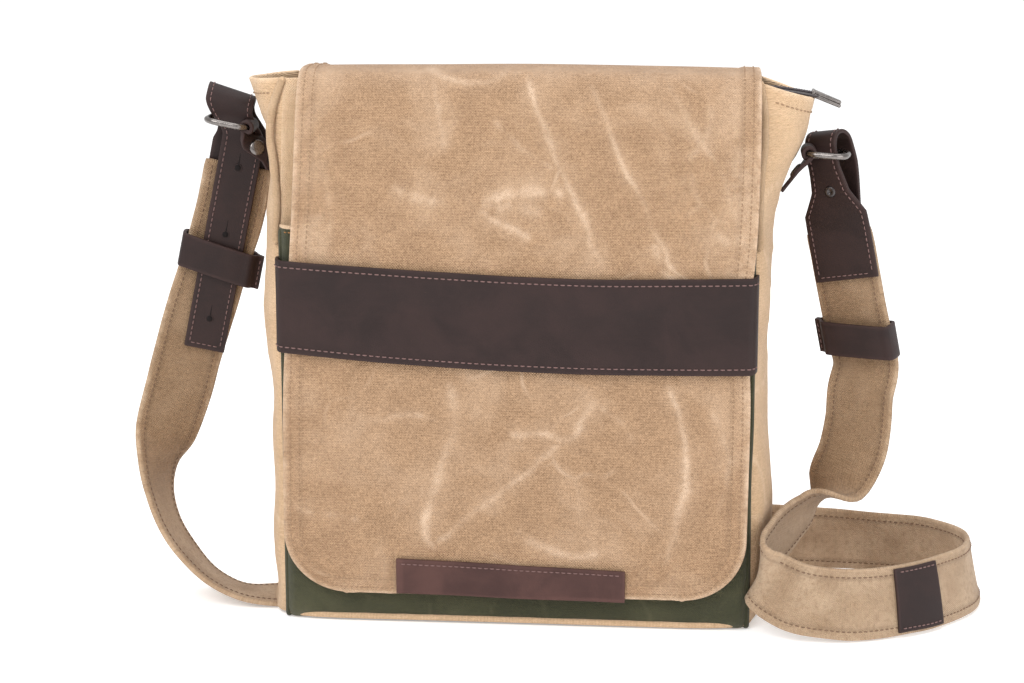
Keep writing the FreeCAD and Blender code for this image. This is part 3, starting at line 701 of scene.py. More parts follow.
def gusset(name, side, out_of, top):
    """A side gusset with its seam allowance, hem and wear, and painted shade near its foot."""
    middle = gusset_middle(side, out_of, top)
    breadth = middle[..., 1]
    arch = np.sin(np.pi * np.linspace(0, 1, middle.shape[1]))[None, :] ** 0.5
    rim = (GUSSET_TOP - (GUSSET_TOP - top) * arch) - middle[..., 2]
    pale = 0.4 * bump(noise(breadth / 22, 3, middle[..., 2] / 38, GUSSET_SEEDS[side]), 0.0, 0.04)
    rubbed = (1 - ease(rim, 0, 2.5)) * 0.9 + 0.25 * ease(np.abs(middle[..., 0]), 139, 150)
    # Painted shade: the gusset darkens over its lowest 14 mm, next to the floor.
    marks = wear_and_shade_marks(rim.shape, pale, rubbed, 0.3 * (1 - ease(middle[..., 2], 0, 14)))
    uv = stack(breadth * 1.05, middle[..., 2])
    lift = 0.75 * (1 - ease(rim, 11.5, 12.6))
    return thick_sheet(name, middle, GUSSET_GAUGE, TAN_BODY_LIT, uv, marks, lift=lift), middle


ROLL_BULGE = smooth_curve(
    [(0, 0.0), (205, 0.5), (214, 2.6), (232, 2.0), (254, 3.4), (270, 5.6), (285, 5.0), (300, 0.8)]
)


def seam_roll(name, side, y_of, toward, low=2.0, high=299.0, radius=1.7, bulge=0.0):
    """The turned seam that stands proud where a gusset meets a wall."""
    z = np.linspace(low, high, 240)
    wander = noise(z / 34, side * 3, toward * 5, 71) * 0.55 + bulge * ROLL_BULGE(z)
    wander = wander + noise(z / 9, side, toward, 72) * 0.16
    x = side * (HALF + 0.5 + wander)
    y = y_of(z) + toward * 0.3
    wide = radius * (1 + 0.12 * noise(z / 6, side, toward, 74))
    return tube(name, stack(x, y, z), wide, TAN_BODY_LIT, sides=10, up=(0, toward, 0), squash=0.75)


front_wall = panel("shell_front", FRONT_Y, -1, 11, swell=0.3)
back_wall = panel("shell_back", BACK_Y, 1, 23, swell=2.2)
left_gusset, left_middle = gusset("shell_gusset_left", -1, LEFT_OUT, 299.0)
right_gusset, right_middle = gusset("shell_gusset_right", 1, RIGHT_OUT, 290.5)
rolls = [
    seam_roll("seam_front_left", -1, FRONT_Y, -1, low=214, high=300, radius=2.3, bulge=1.0),
    seam_roll("seam_front_right", 1, FRONT_Y, -1, low=214, high=300, radius=2.3, bulge=0.7),
    seam_roll("seam_back_left", -1, BACK_Y, 1),
    seam_roll("seam_back_right", 1, BACK_Y, 1),
]


def surface_line(middle, row_of, gauge):
    """Points and normals just above a sheet's outer face, along a path of (row, column) shares."""
    rows, cols = middle.shape[:2]
    normal = grid_normals(middle)[0]
    r, c = row_of[:, 0] * (rows - 1), row_of[:, 1] * (cols - 1)
    i, j = np.clip(r.astype(int), 0, rows - 2), np.clip(c.astype(int), 0, cols - 2)
    fi, fj = (r - i)[:, None], (c - j)[:, None]

    def pick(a):
        return (
            a[i, j] * (1 - fi) * (1 - fj)
            + a[i + 1, j] * fi * (1 - fj)
            + a[i, j + 1] * (1 - fi) * fj
            + a[i + 1, j + 1] * fi * fj
        )

    n = unit(pick(normal))
    return pick(middle) + n * gauge, n


body_rows = []
for middle in (left_middle, right_middle):
    for share in (0.035, 0.965):
        points, normals = surface_line(middle, np.linspace((0.01, share), (0.99, share), 200), 0.8)
        body_rows.append((points, normals, (3.4, 2.4)))
    for face in (1.62, -0.95):
        points, normals = surface_line(middle, np.linspace((0.975, 0.03), (0.975, 0.97), 120), face)
        body_rows.append((points, normals * np.sign(face), (3.2, 2.2, 0.34)))
z = np.linspace(6, 296, 260)
for side in (-1, 1):
    points = stack(side * (HALF - 4.5), BACK_Y(z) + 0.25, z)
    body_rows.append((points, (0, 1, 0), (3.4, 2.4)))
body_stitches = stitches("shell_stitching", body_rows, THREAD_TAN)

# Padded base with the shallow place that the strap lies in.
x, y = grid((-128, 128, 110), (-36.5, 43.0, 46))
under = np.array([(-150, -9), (-137.5, -8), (-100, 3), (-60, 16), (-20, 31), (14, 47), (44, 64)], float)
near = np.full(x.shape, 1e9)
for a, b in zip(under[:-1], under[1:]):
    share = np.clip(((x - a[0]) * (b - a)[0] + (y - a[1]) * (b - a)[1]) / ((b - a) ** 2).sum(), 0, 1)
    near = np.minimum(near, np.hypot(x - a[0] - share * (b - a)[0], y - a[1] - share * (b - a)[1]))
press = 1 - ease(near, 20, 27)
base_middle = stack(x, y, 2.9 + 1.7 * press + 0.15 * noise(x / 30, y / 30, 0, 5))[::-1]
base_edge = ((0.22, 0.38), (0.36, 0.0), (0.22, -0.38))
base = thick_sheet("base_padding", base_middle, (BASE_GAUGE - 2.8 * press)[::-1], TAN_BODY_LIT, edge=base_edge)

# ---------------------------------------------------------------- front pocket


POCKET_Y, POCKET_TOP, POCKET_ROW = -44.4, 222.2, 219.6
BINDING_LOW, BINDING_MID, BINDING_HIGH = 221.9, 222.5, 223.1


def pocket_place(x, z):
    """Middle surface of the green pocket."""
    foot = 1 - ease(z, 0, 7)
    ripple = noise(x / 38, 1, z / 30, 91) * 0.45 * ease(z, 4, 30) + noise(x / 12, 1, z / 15, 92) * 0.16
    pucker = bump(np.mod(x / 23 + 0.3 * noise(x / 50, 0, 0, 95), 1), 0.5, 0.2) * bump(z, 6, 9) * 0.35
    edge = (np.abs(x) / HALF) ** 10
    y = POCKET_Y + 2.2 * foot**2 + (ripple + pucker) * (1 - edge) + 5.2 * np.clip((np.abs(x) - 123) / 6, 0, 1) ** 2
    return stack(x, y, z)


x, z = grid((-HALF, HALF, 150), (1.0, POCKET_TOP, 110))
pocket_middle = pocket_place(x, z)
rubbed = 0.55 * (1 - ease(z, 0.5, 5)) + 0.5 * (1 - ease(HALF - np.abs(x), 0, 3))
marks = wear_and_shade_marks(x.shape, 0.3 * bump(noise(x / 30, 2, z / 40, 97), 0.0, 0.04), rubbed)
pocket = thick_sheet("pocket_green", pocket_middle, POCKET_GAUGE, GREEN, stack(x, z), marks)
x, z = grid((-HALF, HALF, 150), (BINDING_LOW, BINDING_HIGH, 5))
binding_middle = pocket_place(x, z) + np.array([0, -0.75, 0])
marks = wear_and_shade_marks(x.shape, rubbed=0.8 * bump(z, BINDING_MID, 1.6))
binding_uv = stack(x, z)
binding = thick_sheet("pocket_binding", binding_middle, BINDING_GAUGE, TAN_BODY_LIT, binding_uv, marks)
line = pocket_place(np.linspace(-127, 127, 220), np.full(220, POCKET_ROW)) + np.array([0, -0.85, 0])
pocket_stitches = stitches("pocket_stitching", [(line, (0, -1, 0), (3.0, 2.1))], THREAD_ORANGE)
z = np.linspace(1.5, 219, 200)
pocket_rolls = []
for side in (-1, 1):
    wander = noise(z / 40, side * 2, 0, 101) * 0.5
    line = stack(side * (HALF - 0.6 + wander), -39.9, z)
    pocket_rolls.append(tube(f"pocket_seam_{'left' if side < 0 else 'right'}", line, 1.9, GREEN, 10, up=(0, -1, 0)))
x = np.linspace(-126.5, 126.5, 200)
sag = noise(x / 45, 0, 0, 111) * 0.3
line = stack(x, POCKET_Y + 4.5 * (np.abs(x) / 126.5) ** 14, 2.0 + sag)
piping = tube("front_piping", line, 1.75, TAN_BODY_LIT, 10, up=(0, -1, 0))

# ---------------------------------------------------------------- flap

FLAP_LINE = [(35.4, 260), (33.2, 272), (29.6, 287), (27.2, 296), (22.5, 302.4), (13, 305.6), (0, 306.4), (-12, 306.1)]
FLAP_LINE += [(-21.5, 304.2), (-28.3, 298.0), (-34.0, 287), (-39.6, 270), (-44.6, 250), (-48.0, 228), (-49.5, 205)]
FLAP_LINE += [(-49.4, 170), (-49.2, 140), (-49.6, 100), (-49.6, 60), (-49.3, 18.2)]
flap_run = np.concatenate([[0], np.cumsum(np.hypot(*np.diff(np.array(FLAP_LINE, float), axis=0).T))])
FLAP_PROFILE = smooth_curve(list(zip(flap_run, [np.array(p, float) for p in FLAP_LINE])))
FLAP_LENGTH = flap_run[-1]
FLAP_SPLIT = flap_run[5] + 8.0  # where the piece on the back ends and the front piece begins
FLAP_CREST = flap_run[8]  # where the flap turns down at the front
FLAP_HALF, CORNER = 127.2, 34.0
FLAP_SHIFT = smooth_curve([(0, -0.6), (59, -0.5), (132, 0.4), (187, 3.0), (238, 5.2), (312, 5.6)])

# Pale fold lines that use has left in the waxed canvas: each one's (x, z) places, width and strength.
CREASES = [
    ([(0, 306), (4, 292), (13, 270), (22, 250), (36, 224), (49, 199)], 1.5, 1.0),
    ([(33, 305), (42, 284), (55, 259), (66, 236), (76, 214), (90, 194)], 1.3, 0.8),
    ([(-26, 238), (-10, 242), (12, 245), (24, 247)], 2.4, 0.75),
    ([(-26, 237), (-16, 228), (0, 219), (6, 216)], 1.6, 0.6),
    ([(-22, 234), (-4, 236), (14, 228)], 3.2, 0.35),
    ([(-64, 309), (-47, 303), (-24, 300), (-6, 305)], 1.5, 0.6),
    ([(-54, 308), (-50, 290), (-46, 276), (-44, 262)], 1.3, 0.4),
    ([(-74, 244), (-60, 240), (-42, 236)], 2.6, 0.55),
    ([(-20, 280), (4, 262), (18, 256)], 1.4, 0.4),
    ([(76, 305), (88, 286), (97, 268), (112, 243), (124, 216)], 1.6, 0.4),
    ([(97, 300), (100, 284), (94, 268), (84, 262)], 1.6, 0.35),
    ([(70, 220), (76, 205), (92, 196)], 2.2, 0.6),
    ([(104, 224), (116, 216), (126, 226)], 3.0, 0.5),
    ([(-37, 142), (-32, 122), (-38, 100), (-46, 74), (-50, 52), (-44, 40)], 2.6, 0.8),
    ([(28, 109), (12, 96), (-8, 78), (-28, 61), (-50, 44)], 1.4, 0.75),
    ([(-6, 112), (12, 112), (31, 109), (38, 122), (46, 134)], 1.9, 0.7),
    ([(80, 142), (92, 118), (94, 92), (91, 62), (84, 36)], 2.0, 0.75),
    ([(-100, 122), (-76, 117), (-60, 121), (-40, 118)], 1.6, 0.4),
    ([(0, 58), (14, 48), (32, 42), (52, 46)], 2.2, 0.6),
    ([(-122, 66), (-104, 64), (-84, 60)], 1.4, 0.3),
    ([(46, 128), (58, 118), (66, 104)], 1.4, 0.35),
    ([(-16, 44), (8, 34), (30, 30)], 1.4, 0.3),
    ([(-112, 255), (-106, 230), (-112, 208)], 1.5, 0.3),
    ([(108, 130), (118, 100), (112, 66)], 1.4, 0.3),
]


def line_gap(x, z, line):
    """Distance to a broken line, and the share of the way along it."""
    best, at = np.full(x.shape, 1e9), np.zeros(x.shape)
    line = np.asarray(spline(np.column_stack([line, np.zeros(len(line))]), 26))[:, :2]
    for k, (a, b) in enumerate(zip(line[:-1], line[1:])):
        d = b - a
        share = np.clip(((x - a[0]) * d[0] + (z - a[1]) * d[1]) / (d @ d), 0, 1)
        gap = np.hypot(x - a[0] - share * d[0], z - a[1] - share * d[1])
        closer = gap < best
        best = np.where(closer, gap, best)
        at = np.where(closer, (k + share) / (len(line) - 1), at)
    return best, at


def creased(x, z):
    """How strongly the crease lines show at each place."""
    wx = x + noise(x / 9, z / 9, 0, 121) * 1.3 + noise(x / 26, z / 26, 0, 123) * 2.0
    wz = z + noise(x / 9, z / 9, 0, 122) * 1.3 + noise(x / 26, z / 26, 0, 124) * 2.0
    total = np.zeros(x.shape)
    for k, (line, width, strength) in enumerate(CREASES):
        gap, at = line_gap(wx, wz, line)
        broken = 0.55 + 0.45 * noise(at * 9, k, 0, 131)
        fade = ease(at, 0, 0.1) * (1 - ease(at, 0.86, 1))
        core = bump(gap, 0, width) + 0.35 * bump(gap, 0, width * 3.6)
        total = np.maximum(total, 0.85 * core * strength * broken * fade)
    return total


def flap_edge_gap(u, s):
    """Distance inside the flap's outline."""
    side = FLAP_HALF - np.abs(u)
    foot = FLAP_LENGTH - s
    inner = np.minimum(side, foot)
    cx, cy = CORNER - side, CORNER - foot
    return np.where((cx > 0) & (cy > 0), CORNER - np.hypot(np.maximum(cx, 0), np.maximum(cy, 0)), inner)


def flap_place(u, s):
    """Middle surface of the flap. u runs across it and s down from its seam on the back."""
    u, s = np.broadcast_arrays(np.asarray(u, float), np.asarray(s, float))
    p = FLAP_PROFILE(s)
    y, z = p[..., 0], p[..., 1]
    front = ease(s, FLAP_CREST - 4, FLAP_CREST + 40)
    hang = np.clip((s - FLAP_CREST) / (FLAP_LENGTH - FLAP_CREST), 0, 1)
    held = bump(z, 169, 30) * front
    loose = front * (1 - 0.8 * held)
    big = noise(u / 62, s / 70, 0, 141) * 1.0 + noise(u / 26, s / 34, 0, 142) * 0.42
    small = noise(u / 10, s / 12, 0, 143) * 0.12
    curl = ((np.abs(u) / FLAP_HALF) ** 6) * (1.3 - 2.4 * ease(hang, 0.15, 0.6)) * front
    kick = ease(hang, 0.9, 1.0) * 0.8 * (0.4 + noise(u / 48, 3, 0, 144))
    top = (1 - front) * (0.8 * noise(u / 55, s / 30, 0, 145) - 1.6 * (u / FLAP_HALF) ** 2 * ease(s, 40, 60))
    fold = -0.35 * np.clip(creased(u, z), 0, 1) * front
    y = y - (big + small) * loose - curl - kick + fold
    z = z + top
    x = u + FLAP_SHIFT(z) + 0.5 * noise(0, s / 60, 0, 146)
    x = x - 2.4 * (u / FLAP_HALF) * ease(z, 110, 250) - 3.4 * bump(z, 174, 26) * ease(u, 90, 127)
    return stack(x, y, z)


def flap_normal(u, s):
    """Outward normals of the flap's surface."""
    d = 0.8
    return unit(np.cross(flap_place(u, s + d) - flap_place(u, s - d), flap_place(u + d, s) - flap_place(u - d, s)))


def flap_marks(u, s, z):
    """Pale creases and rubbed edges over the flap, and a painted shade line along the hem's inner edge."""
    gap = flap_edge_gap(u, s)
    pale = np.clip(creased(u, z) * ease(s, FLAP_CREST - 30, FLAP_CREST), 0, 1)
    worn = (1 - ease(gap, 0.0, 2.6)) * (0.65 + 0.35 * noise(u / 12, s / 12, 0, 151))
    rub = ease(noise(u / 22, s / 30, 0, 152), 0.1, 0.7) * (1 - ease(gap, 6, 26)) * 0.5
    crest = bump(s, FLAP_CREST, 7) * 0.3 * (0.6 + 0.4 * noise(u / 14, 0, 0, 153))
    rubbed = np.clip(np.maximum(np.maximum(worn, rub), crest), 0, 1)
    # Painted shade: a thin dark line at the hem's step, 9.8 mm in from the edge.
    return wear_and_shade_marks(u.shape, pale, rubbed, 0.22 * bump(gap, 9.8, 0.7))


def flap_grid(s_values):
    """A grid whose last rows follow the rounded lower corners."""
    width = np.full(len(s_values), FLAP_HALF)
    deep = np.clip(s_values - (FLAP_LENGTH - CORNER), 0, CORNER)
    width = width - (CORNER - np.sqrt(np.maximum(CORNER**2 - deep**2, 0)))
    share = np.linspace(-1, 1, 161)
    u = share[None, :] * width[:, None]
    return u, np.broadcast_to(s_values[:, None], u.shape)


def flap_sheet(name, s_values):
    """Part of the flap as a hemmed sheet of waxed canvas."""
    u, s = flap_grid(s_values)
    middle = flap_place(u, s)
    hem = 0.75 * (1 - ease(flap_edge_gap(u, s), 9.2, 10.2))
    marks = flap_marks(u, s, middle[..., 2])
    uv = stack(u, -s)
    return thick_sheet(name, middle, FLAP_GAUGE, TAN, uv, marks, lift=hem)


corner_rows = FLAP_LENGTH - CORNER + CORNER * np.sin(np.linspace(0, math.pi / 2, 30))
flap_rear = flap_sheet("flap_rear", np.linspace(0, FLAP_SPLIT, 48))
flap_front = flap_sheet(
    "flap_front_sheet", np.concatenate([np.linspace(FLAP_SPLIT - 0.4, FLAP_LENGTH - CORNER, 175)[:-1], corner_rows])
)


def flap_outline(inset, start):
    """A path a set distance inside the flap's edge, from its top down, round the foot and up again."""
    half, foot, radius = FLAP_HALF - inset, FLAP_LENGTH - inset, CORNER - inset
    left = [(-half, s) for s in np.linspace(start, foot - radius, 220)]
    arc = np.linspace(0, math.pi / 2, 26)[1:]
    bend = [(-half + radius - radius * math.cos(a), foot - radius + radius * math.sin(a)) for a in arc]
    across = [(u, foot) for u in np.linspace(-half + radius, half - radius, 120)[1:]]
    path = left + bend + across + [(-u, s) for u, s in reversed(bend)][1:] + [(-u, s) for u, s in reversed(left)]
    return np.array(path)


def flap_row(path):
    """Points and normals on the flap's face for a stitch row."""
    u, s = path[:, 0], path[:, 1]
    normal = flap_normal(u, s)
    return flap_place(u, s) + normal * 1.85, normal


HEM_ROWS = (3.2, 8.2)
HEM_THREAD = (2.9, 2.0, 0.3)
front_rows = [(*flap_row(flap_outline(inset, FLAP_SPLIT + 1)), HEM_THREAD) for inset in HEM_ROWS]
flap_front_stitches = stitches("flap_front_stitching", front_rows, THREAD_TAN)
rear_rows = []
for inset in HEM_ROWS:
    for side in (-1, 1):
        line = np.array([(side * (FLAP_HALF - inset), s) for s in np.linspace(6, FLAP_SPLIT - 1, 60)])
        rear_rows.append((*flap_row(line), HEM_THREAD))
for s in (2.5, 7.5, 22.0):
    line = np.array([(u, s) for u in np.linspace(-124, 124, 160)])
    points, normals = flap_row(line)
    rear_rows.append((points - normals * (0.0 if s < 10 else 0.72), normals, (3.0, 2.1)))
flap_rear_stitches = stitches("flap_rear_stitching", rear_rows, THREAD_TAN)

# Leather tab along the flap's foot.
tab_u, tab_s = grid((-64.6, 61.6, 90), (-18.0, 0.2, 16))
tab_s = FLAP_LENGTH + tab_s * (1 - 0.06 * tab_u / 63) + (tab_u / 63) * 1.2
tab_middle = flap_place(tab_u, np.minimum(tab_s, FLAP_LENGTH - 0.5))
tab_middle[..., 2] -= np.maximum(tab_s - (FLAP_LENGTH - 0.5), 0)
tab_middle[..., 1] -= 2.9
marks = wear_and_shade_marks(tab_u.shape, rubbed=0.35 * (1 - ease(np.minimum(62 - np.abs(tab_u), FLAP_LENGTH - tab_s), 0, 1.2)))
flap_tab = thick_sheet("flap_leather_tab", tab_middle, FOOT_TAB_GAUGE, LEATHER_TAB, marks=marks, edge=CUT_EDGE)
line_u = np.linspace(-63, 60, 120)
line_s = FLAP_LENGTH - 15.8 + (line_u / 63) * 2.1
line = flap_place(line_u, line_s) + np.array([0, -3.95, 0])
flap_tab_stitches = stitches("flap_tab_stitching", [(line, (0, -1, 0), (3.3, 2.3))], THREAD_BROWN)

# ---------------------------------------------------------------- leather band

BAND_MID = smooth_curve([(-132, 180.0), (-90, 177.3), (-45, 174.6), (0, 172.6), (47, 171.8), (130, 172.8)])
BAND_TALL = smooth_curve([(-132, 50.0), (-45, 51.6), (50, 51.8), (130, 52.6)])


BAND_HALF = 126.5


def band_place(a, h):
    """The band's middle surface. a runs across the bag and round behind its sides, h up the band."""
    over = np.maximum(np.abs(a) - BAND_HALF, 0)
    turn = np.clip(over / 9.0, 0, 1)
    x = np.sign(a) * (np.minimum(np.abs(a), BAND_HALF) + 4.4 * np.sin(turn * math.pi / 2))
    y = -53.0 + 0.6 * noise(a / 50, h, 0, 161) + 12.0 * (1 - np.cos(turn * math.pi / 2))
    y = y + 1.6 * (np.abs(a) / BAND_HALF) ** 8
    y = y + 0.5 * np.cos(h * 3.0)
    z = BAND_MID(x) + h * BAND_TALL(x) / 2 + 0.25 * noise(a / 40, h * 2, 0, 162)
    return stack(x, y, z)


a, h = grid((-136.0, 136.0, 260), (-1, 1, 44))
band_middle = band_place(a, h)
rubbed = 0.4 * (1 - ease(26 * (1 - np.abs(h)), 0, 1.2)) * (0.7 + 0.3 * noise(a / 10, h * 8, 0, 163))
marks = wear_and_shade_marks(a.shape, rubbed=rubbed)
band = thick_sheet("leather_band", band_middle, BAND_GAUGE, LEATHER, marks=marks, edge=CUT_EDGE)
band_rows = []
for h in (-0.88, 0.88):
    line = np.linspace(-133, 133, 300)
    points = band_place(line, np.full_like(line, h))
    ahead = band_place(line + 0.5, np.full_like(line, h)) - band_place(line - 0.5, np.full_like(line, h))
    normals = unit(np.cross(ahead, np.array([0, 0, 1.0])))
    band_rows.append((points + normals * 1.1, normals, (3.6, 2.5, 0.38)))
band_stitches = stitches("band_stitching", band_rows, THREAD_BROWN)

# ---------------------------------------------------------------- mouth, lining and zip


def facing(name, y_of, side, seed):
    """A strip of canvas that lies just inside the top of a wall and carries the zip."""
    x, z = grid((-126.8, 126.8, 90), (266, 299.6, 8))
    y = y_of(z) - side * (2.6 + 0.25 * noise(x / 30, z / 30, 0, seed) + 0.25)
    middle = stack(x, y, z)
    if side > 0:
        middle = middle[:, ::-1]
    return thick_sheet(name, middle, FACING_GAUGE, TAN_BODY_LIT, middle[..., [0, 2]])


def lining_loop():
    """The lining: one band of cloth round the inside, from the base to the facings."""
    tt, zz = grid((0, 1, 220), (9, 268, 60))
    front, back = FRONT_Y(zz) + 3.4, BACK_Y(zz) - 3.4
    depth = back - front
    angle = tt * 2 * math.pi
    cx, cy = np.cos(angle), np.sin(angle)
    sharp = (np.abs(cx) ** 8 + np.abs(cy) ** 8) ** (-1 / 8)
    x = 125.8 * cx * sharp
    y = (front + back) / 2 + depth / 2 * cy * sharp
    ripple = 0.455 * noise(x / 22, y / 22, zz / 30, 171)
    middle = stack(x, y + ripple * np.sign(-cy), zz)
    uv = stack(tt * 690, zz)
    return thick_sheet("lining_cloth", middle[:, ::-1], LINING_GAUGE, LINING, uv[:, ::-1])


lining = lining_loop()
x, y = grid((-125, 125, 60), (-34, 40, 24))
board_middle = stack(x, y, 6.9 + 0.2 * noise(x / 40, y / 40, 0, 7))[::-1]
board = thick_sheet("base_stiffener", board_middle, BOARD_GAUGE, BOARD)
facing_front = facing("facing_front", FRONT_Y, -1, 181)
facing_back = facing("facing_back", BACK_Y, 1, 182)

# The zip's middle line, and half the gap between its coils along the bag.
ZIP_Y = 1.2
ZIP_GAP = smooth_curve([(-140, 9.6), (40, 9.6), (70, 8.4), (95, 3.6), (108, 0.95), (132, 0.85)])


def zip_tape(name, side):
    """One side of the mouth's zip: ribbed tape from the facing to the coil."""
    x, w = grid((-127.5, 128, 180), (0, 1, 12))
    outer = (FRONT_Y(299.0) + 3.0) if side < 0 else (BACK_Y(299.0) - 3.0)
    inner = ZIP_Y + side * ZIP_GAP(x)
    y = outer + (inner - outer) * w
    z = 294.6 - 1.1 * np.sin(np.pi * w) + 0.3 * noise(x / 24, w * 2, side, 191)
    middle = stack(x, y, z)
    if side > 0:
        middle = middle[::-1]
    return thick_sheet(name, middle, TAPE_GAUGE, ZIP_CLOTH, middle[..., [0, 1]])


def zip_coil(name, side, low, high, gap_of, height_of):
    """One half of the coil: a bar ribbed tooth by tooth."""
    x = np.arange(low, high, 0.36)
    tooth = 0.78 + 0.24 * np.cos(x / 1.44 * 2 * math.pi + (math.pi if side > 0 else 0))
    y = ZIP_Y + side * gap_of(x)
    return tube(name, stack(x, y, height_of(x)), tooth, ZIP_COIL, sides=8, squash=0.9)


TAIL_Z = smooth_curve([(122, 296.4), (140, 295.4), (155, 293.4), (162, 292.2)])


def level(value):
    """A curve that stays at one value."""
    return lambda x: np.full_like(x, value)


def tail_coil_height(x):
    """The height of the coil along the zip's free tail."""
    return TAIL_Z(x) + 0.9


COIL_Z = level(295.2)
TAIL_GAP = level(0.85)
tapes = [zip_tape("zip_tape_front_cloth", -1), zip_tape("zip_tape_back_cloth", 1)]
coils = [
    zip_coil("zip_teeth_front", -1, -126, 128, ZIP_GAP, COIL_Z),
    zip_coil("zip_teeth_back", 1, -126, 128, ZIP_GAP, COIL_Z),
    zip_coil("zip_teeth_tail_a", -1, 128, 161, TAIL_GAP, tail_coil_height),
    zip_coil("zip_teeth_tail_b", 1, 128, 161, TAIL_GAP, tail_coil_height),
]
x, w = grid((122, 162, 40), (-1, 1, 14))
tail_middle = stack(x, ZIP_Y + w * (7.4 - 1.6 * ease(x, 150, 167)), TAIL_Z(x) - 0.35 * w**2)
tail = thick_sheet("zip_tail_tape", tail_middle, TAIL_GAUGE, ZIP_CLOTH, stack(x, w * 7))


def soft_box(name, size, centre, turn, material, bevel, taper=0.0):
    """A block with rounded edges, slightly tapered along X."""
    mesh = bpy.data.meshes.new(name)
    bm = bmesh.new()
    bmesh.ops.create_cube(bm, size=1.0)
    for v in bm.verts:
        shrink = 1 - taper * (v.co.x + 0.5)
        v.co = Vector((v.co.x * size[0], v.co.y * size[1] * shrink, v.co.z * size[2] * shrink))
    bmesh.ops.bevel(bm, geom=bm.edges[:], offset=bevel, segments=4, profile=0.5, affect="EDGES")
    placement = Matrix.Translation(Vector(centre)) @ turn.to_4x4()
    bmesh.ops.transform(bm, matrix=Matrix.Scale(MM, 4) @ placement, verts=bm.verts)
    bm.to_mesh(mesh)
    bm.free()
    return add_mesh(name, mesh, material)


FLAT = Matrix.Identity(3)
cap_turn = Matrix.Rotation(math.radians(22), 3, "Y")
cap_low = soft_box("zip_end_cap", (17.5, 8.6, 2.2), (166.6, ZIP_Y, 289.6), cap_turn, METAL, 0.9, 0.1)
cap_top = soft_box("cap_ridge", (17.0, 7.0, 2.2), (167.0, ZIP_Y, 291.3), cap_turn, METAL, 0.9, 0.12)
cap_lip = soft_box("cap_lip", (2.0, 9.2, 4.6), (159.4, ZIP_Y, 293.2), cap_turn, METAL, 0.8)
end_cap = join("zip_end_cap", [cap_low, cap_top, cap_lip])
slider_parts = [
    soft_box("slider_top", (13.5, 9.6, 1.7), (103.5, ZIP_Y, 298.0), FLAT, METAL, 0.75, -0.12),
    soft_box("slider_low", (12.5, 8.6, 1.3), (103.5, ZIP_Y, 292.4), FLAT, METAL, 0.55, -0.12),
    soft_box("slider_post", (3.0, 1.6, 5.6), (109.2, ZIP_Y, 295.2), FLAT, METAL, 0.4),
]
bridge = spline([(108, ZIP_Y, 298.4), (103, ZIP_Y, 300.3), (97, ZIP_Y, 299.9), (92.8, ZIP_Y, 297.7)], 20)
slider_parts.append(tube("slider_bridge", bridge, 0.8, METAL, 10, up=(0, 1, 0)))
slider = join("zip_slider_body", slider_parts)
turns = np.linspace(0, 2 * math.pi, 25)[:-1]
pull_line = np.array([(93 + 2.1 * math.cos(a), ZIP_Y, 296.4 + 2.3 * math.sin(a)) for a in turns])
pull_loop = tube("pull_loop", pull_line, 0.55, METAL, 10, closed=True, up=(0, 1, 0))
pull_bar = soft_box("pull_bar", (1.5, 4.2, 20.0), (93.0, ZIP_Y, 283.2), FLAT, METAL, 0.65)
pull_foot = soft_box("pull_foot", (2.0, 5.6, 6.5), (93.0, ZIP_Y, 274.4), FLAT, METAL, 0.9)
pull = join("zip_pull_bar", [pull_loop, pull_bar, pull_foot])

# ---------------------------------------------------------------- strap ends


class Hanging:
    """A leaning strap end's own frame: x across it, y towards the back, z up. It twists near its top."""

    def __init__(self, origin, lean, yaw, twist=0.0):
        self.origin = np.array(origin, float)
        self.twist = math.radians(twist)
        self.turn = np.array(
            Matrix.Rotation(math.radians(lean), 3, "Y") @ Matrix.Rotation(math.radians(yaw), 3, "Z"), float
        )

    def __call__(self, points):
        points = np.array(points, float)
        angle = self.twist * ease(points[..., 2], -48, -6)
        x, y = points[..., 0].copy(), points[..., 1].copy()
        points[..., 0] = x * np.cos(angle) - y * np.sin(angle)
        points[..., 1] = x * np.sin(angle) + y * np.cos(angle)
        return points @ self.turn.T + self.origin

    def way(self, direction):
        return self.turn @ np.asarray(direction, float)


# The left end, the left keeper, which sits a little further out, and the right end.
LEFT = Hanging((-155.4, 11, 277), 12.0, 6.0)
LEFT_LOOP = Hanging((-157.8, 11, 277), 12.0, 6.0)
RIGHT = Hanging((168.3, 8.5, 260.5), -11.5, -23.0, -13.0)


def strip(name, place, path, halves, count, slant=0.0, aside=0.0):
    """A leather strip along a local (y, z) path, with its half width given at distances along it."""
    line = spline(np.column_stack([np.zeros(len(path)), path]), count)
    run = distance_along(line)
    half = np.interp(run, *zip(*halves))
    share = np.linspace(-1, 1, 15)
    middle = np.repeat(line[:, None], len(share), axis=1)
    middle[..., 0] = share[None, :] * half[:, None]
    middle[..., 2] += slant * middle[..., 0] * ease(line[:, 2], -4, 12)[:, None]
    middle[..., 0] += aside * ease(line[:, 2], -14, 6)[:, None]
    edge = np.minimum(half[:, None] * (1 - np.abs(share))[None, :], np.minimum(run, run[-1] - run)[:, None])
    marks = wear_and_shade_marks(edge.shape, rubbed=0.5 * (1 - ease(edge, 0, 1.3)))
    return thick_sheet(name, place(middle), STRIP_GAUGE, LEATHER, marks=marks, edge=CUT_EDGE), (line, run, half)


LEATHER_THREAD = (3.2, 2.3, 0.33)
THREAD_LIFT = 1.15


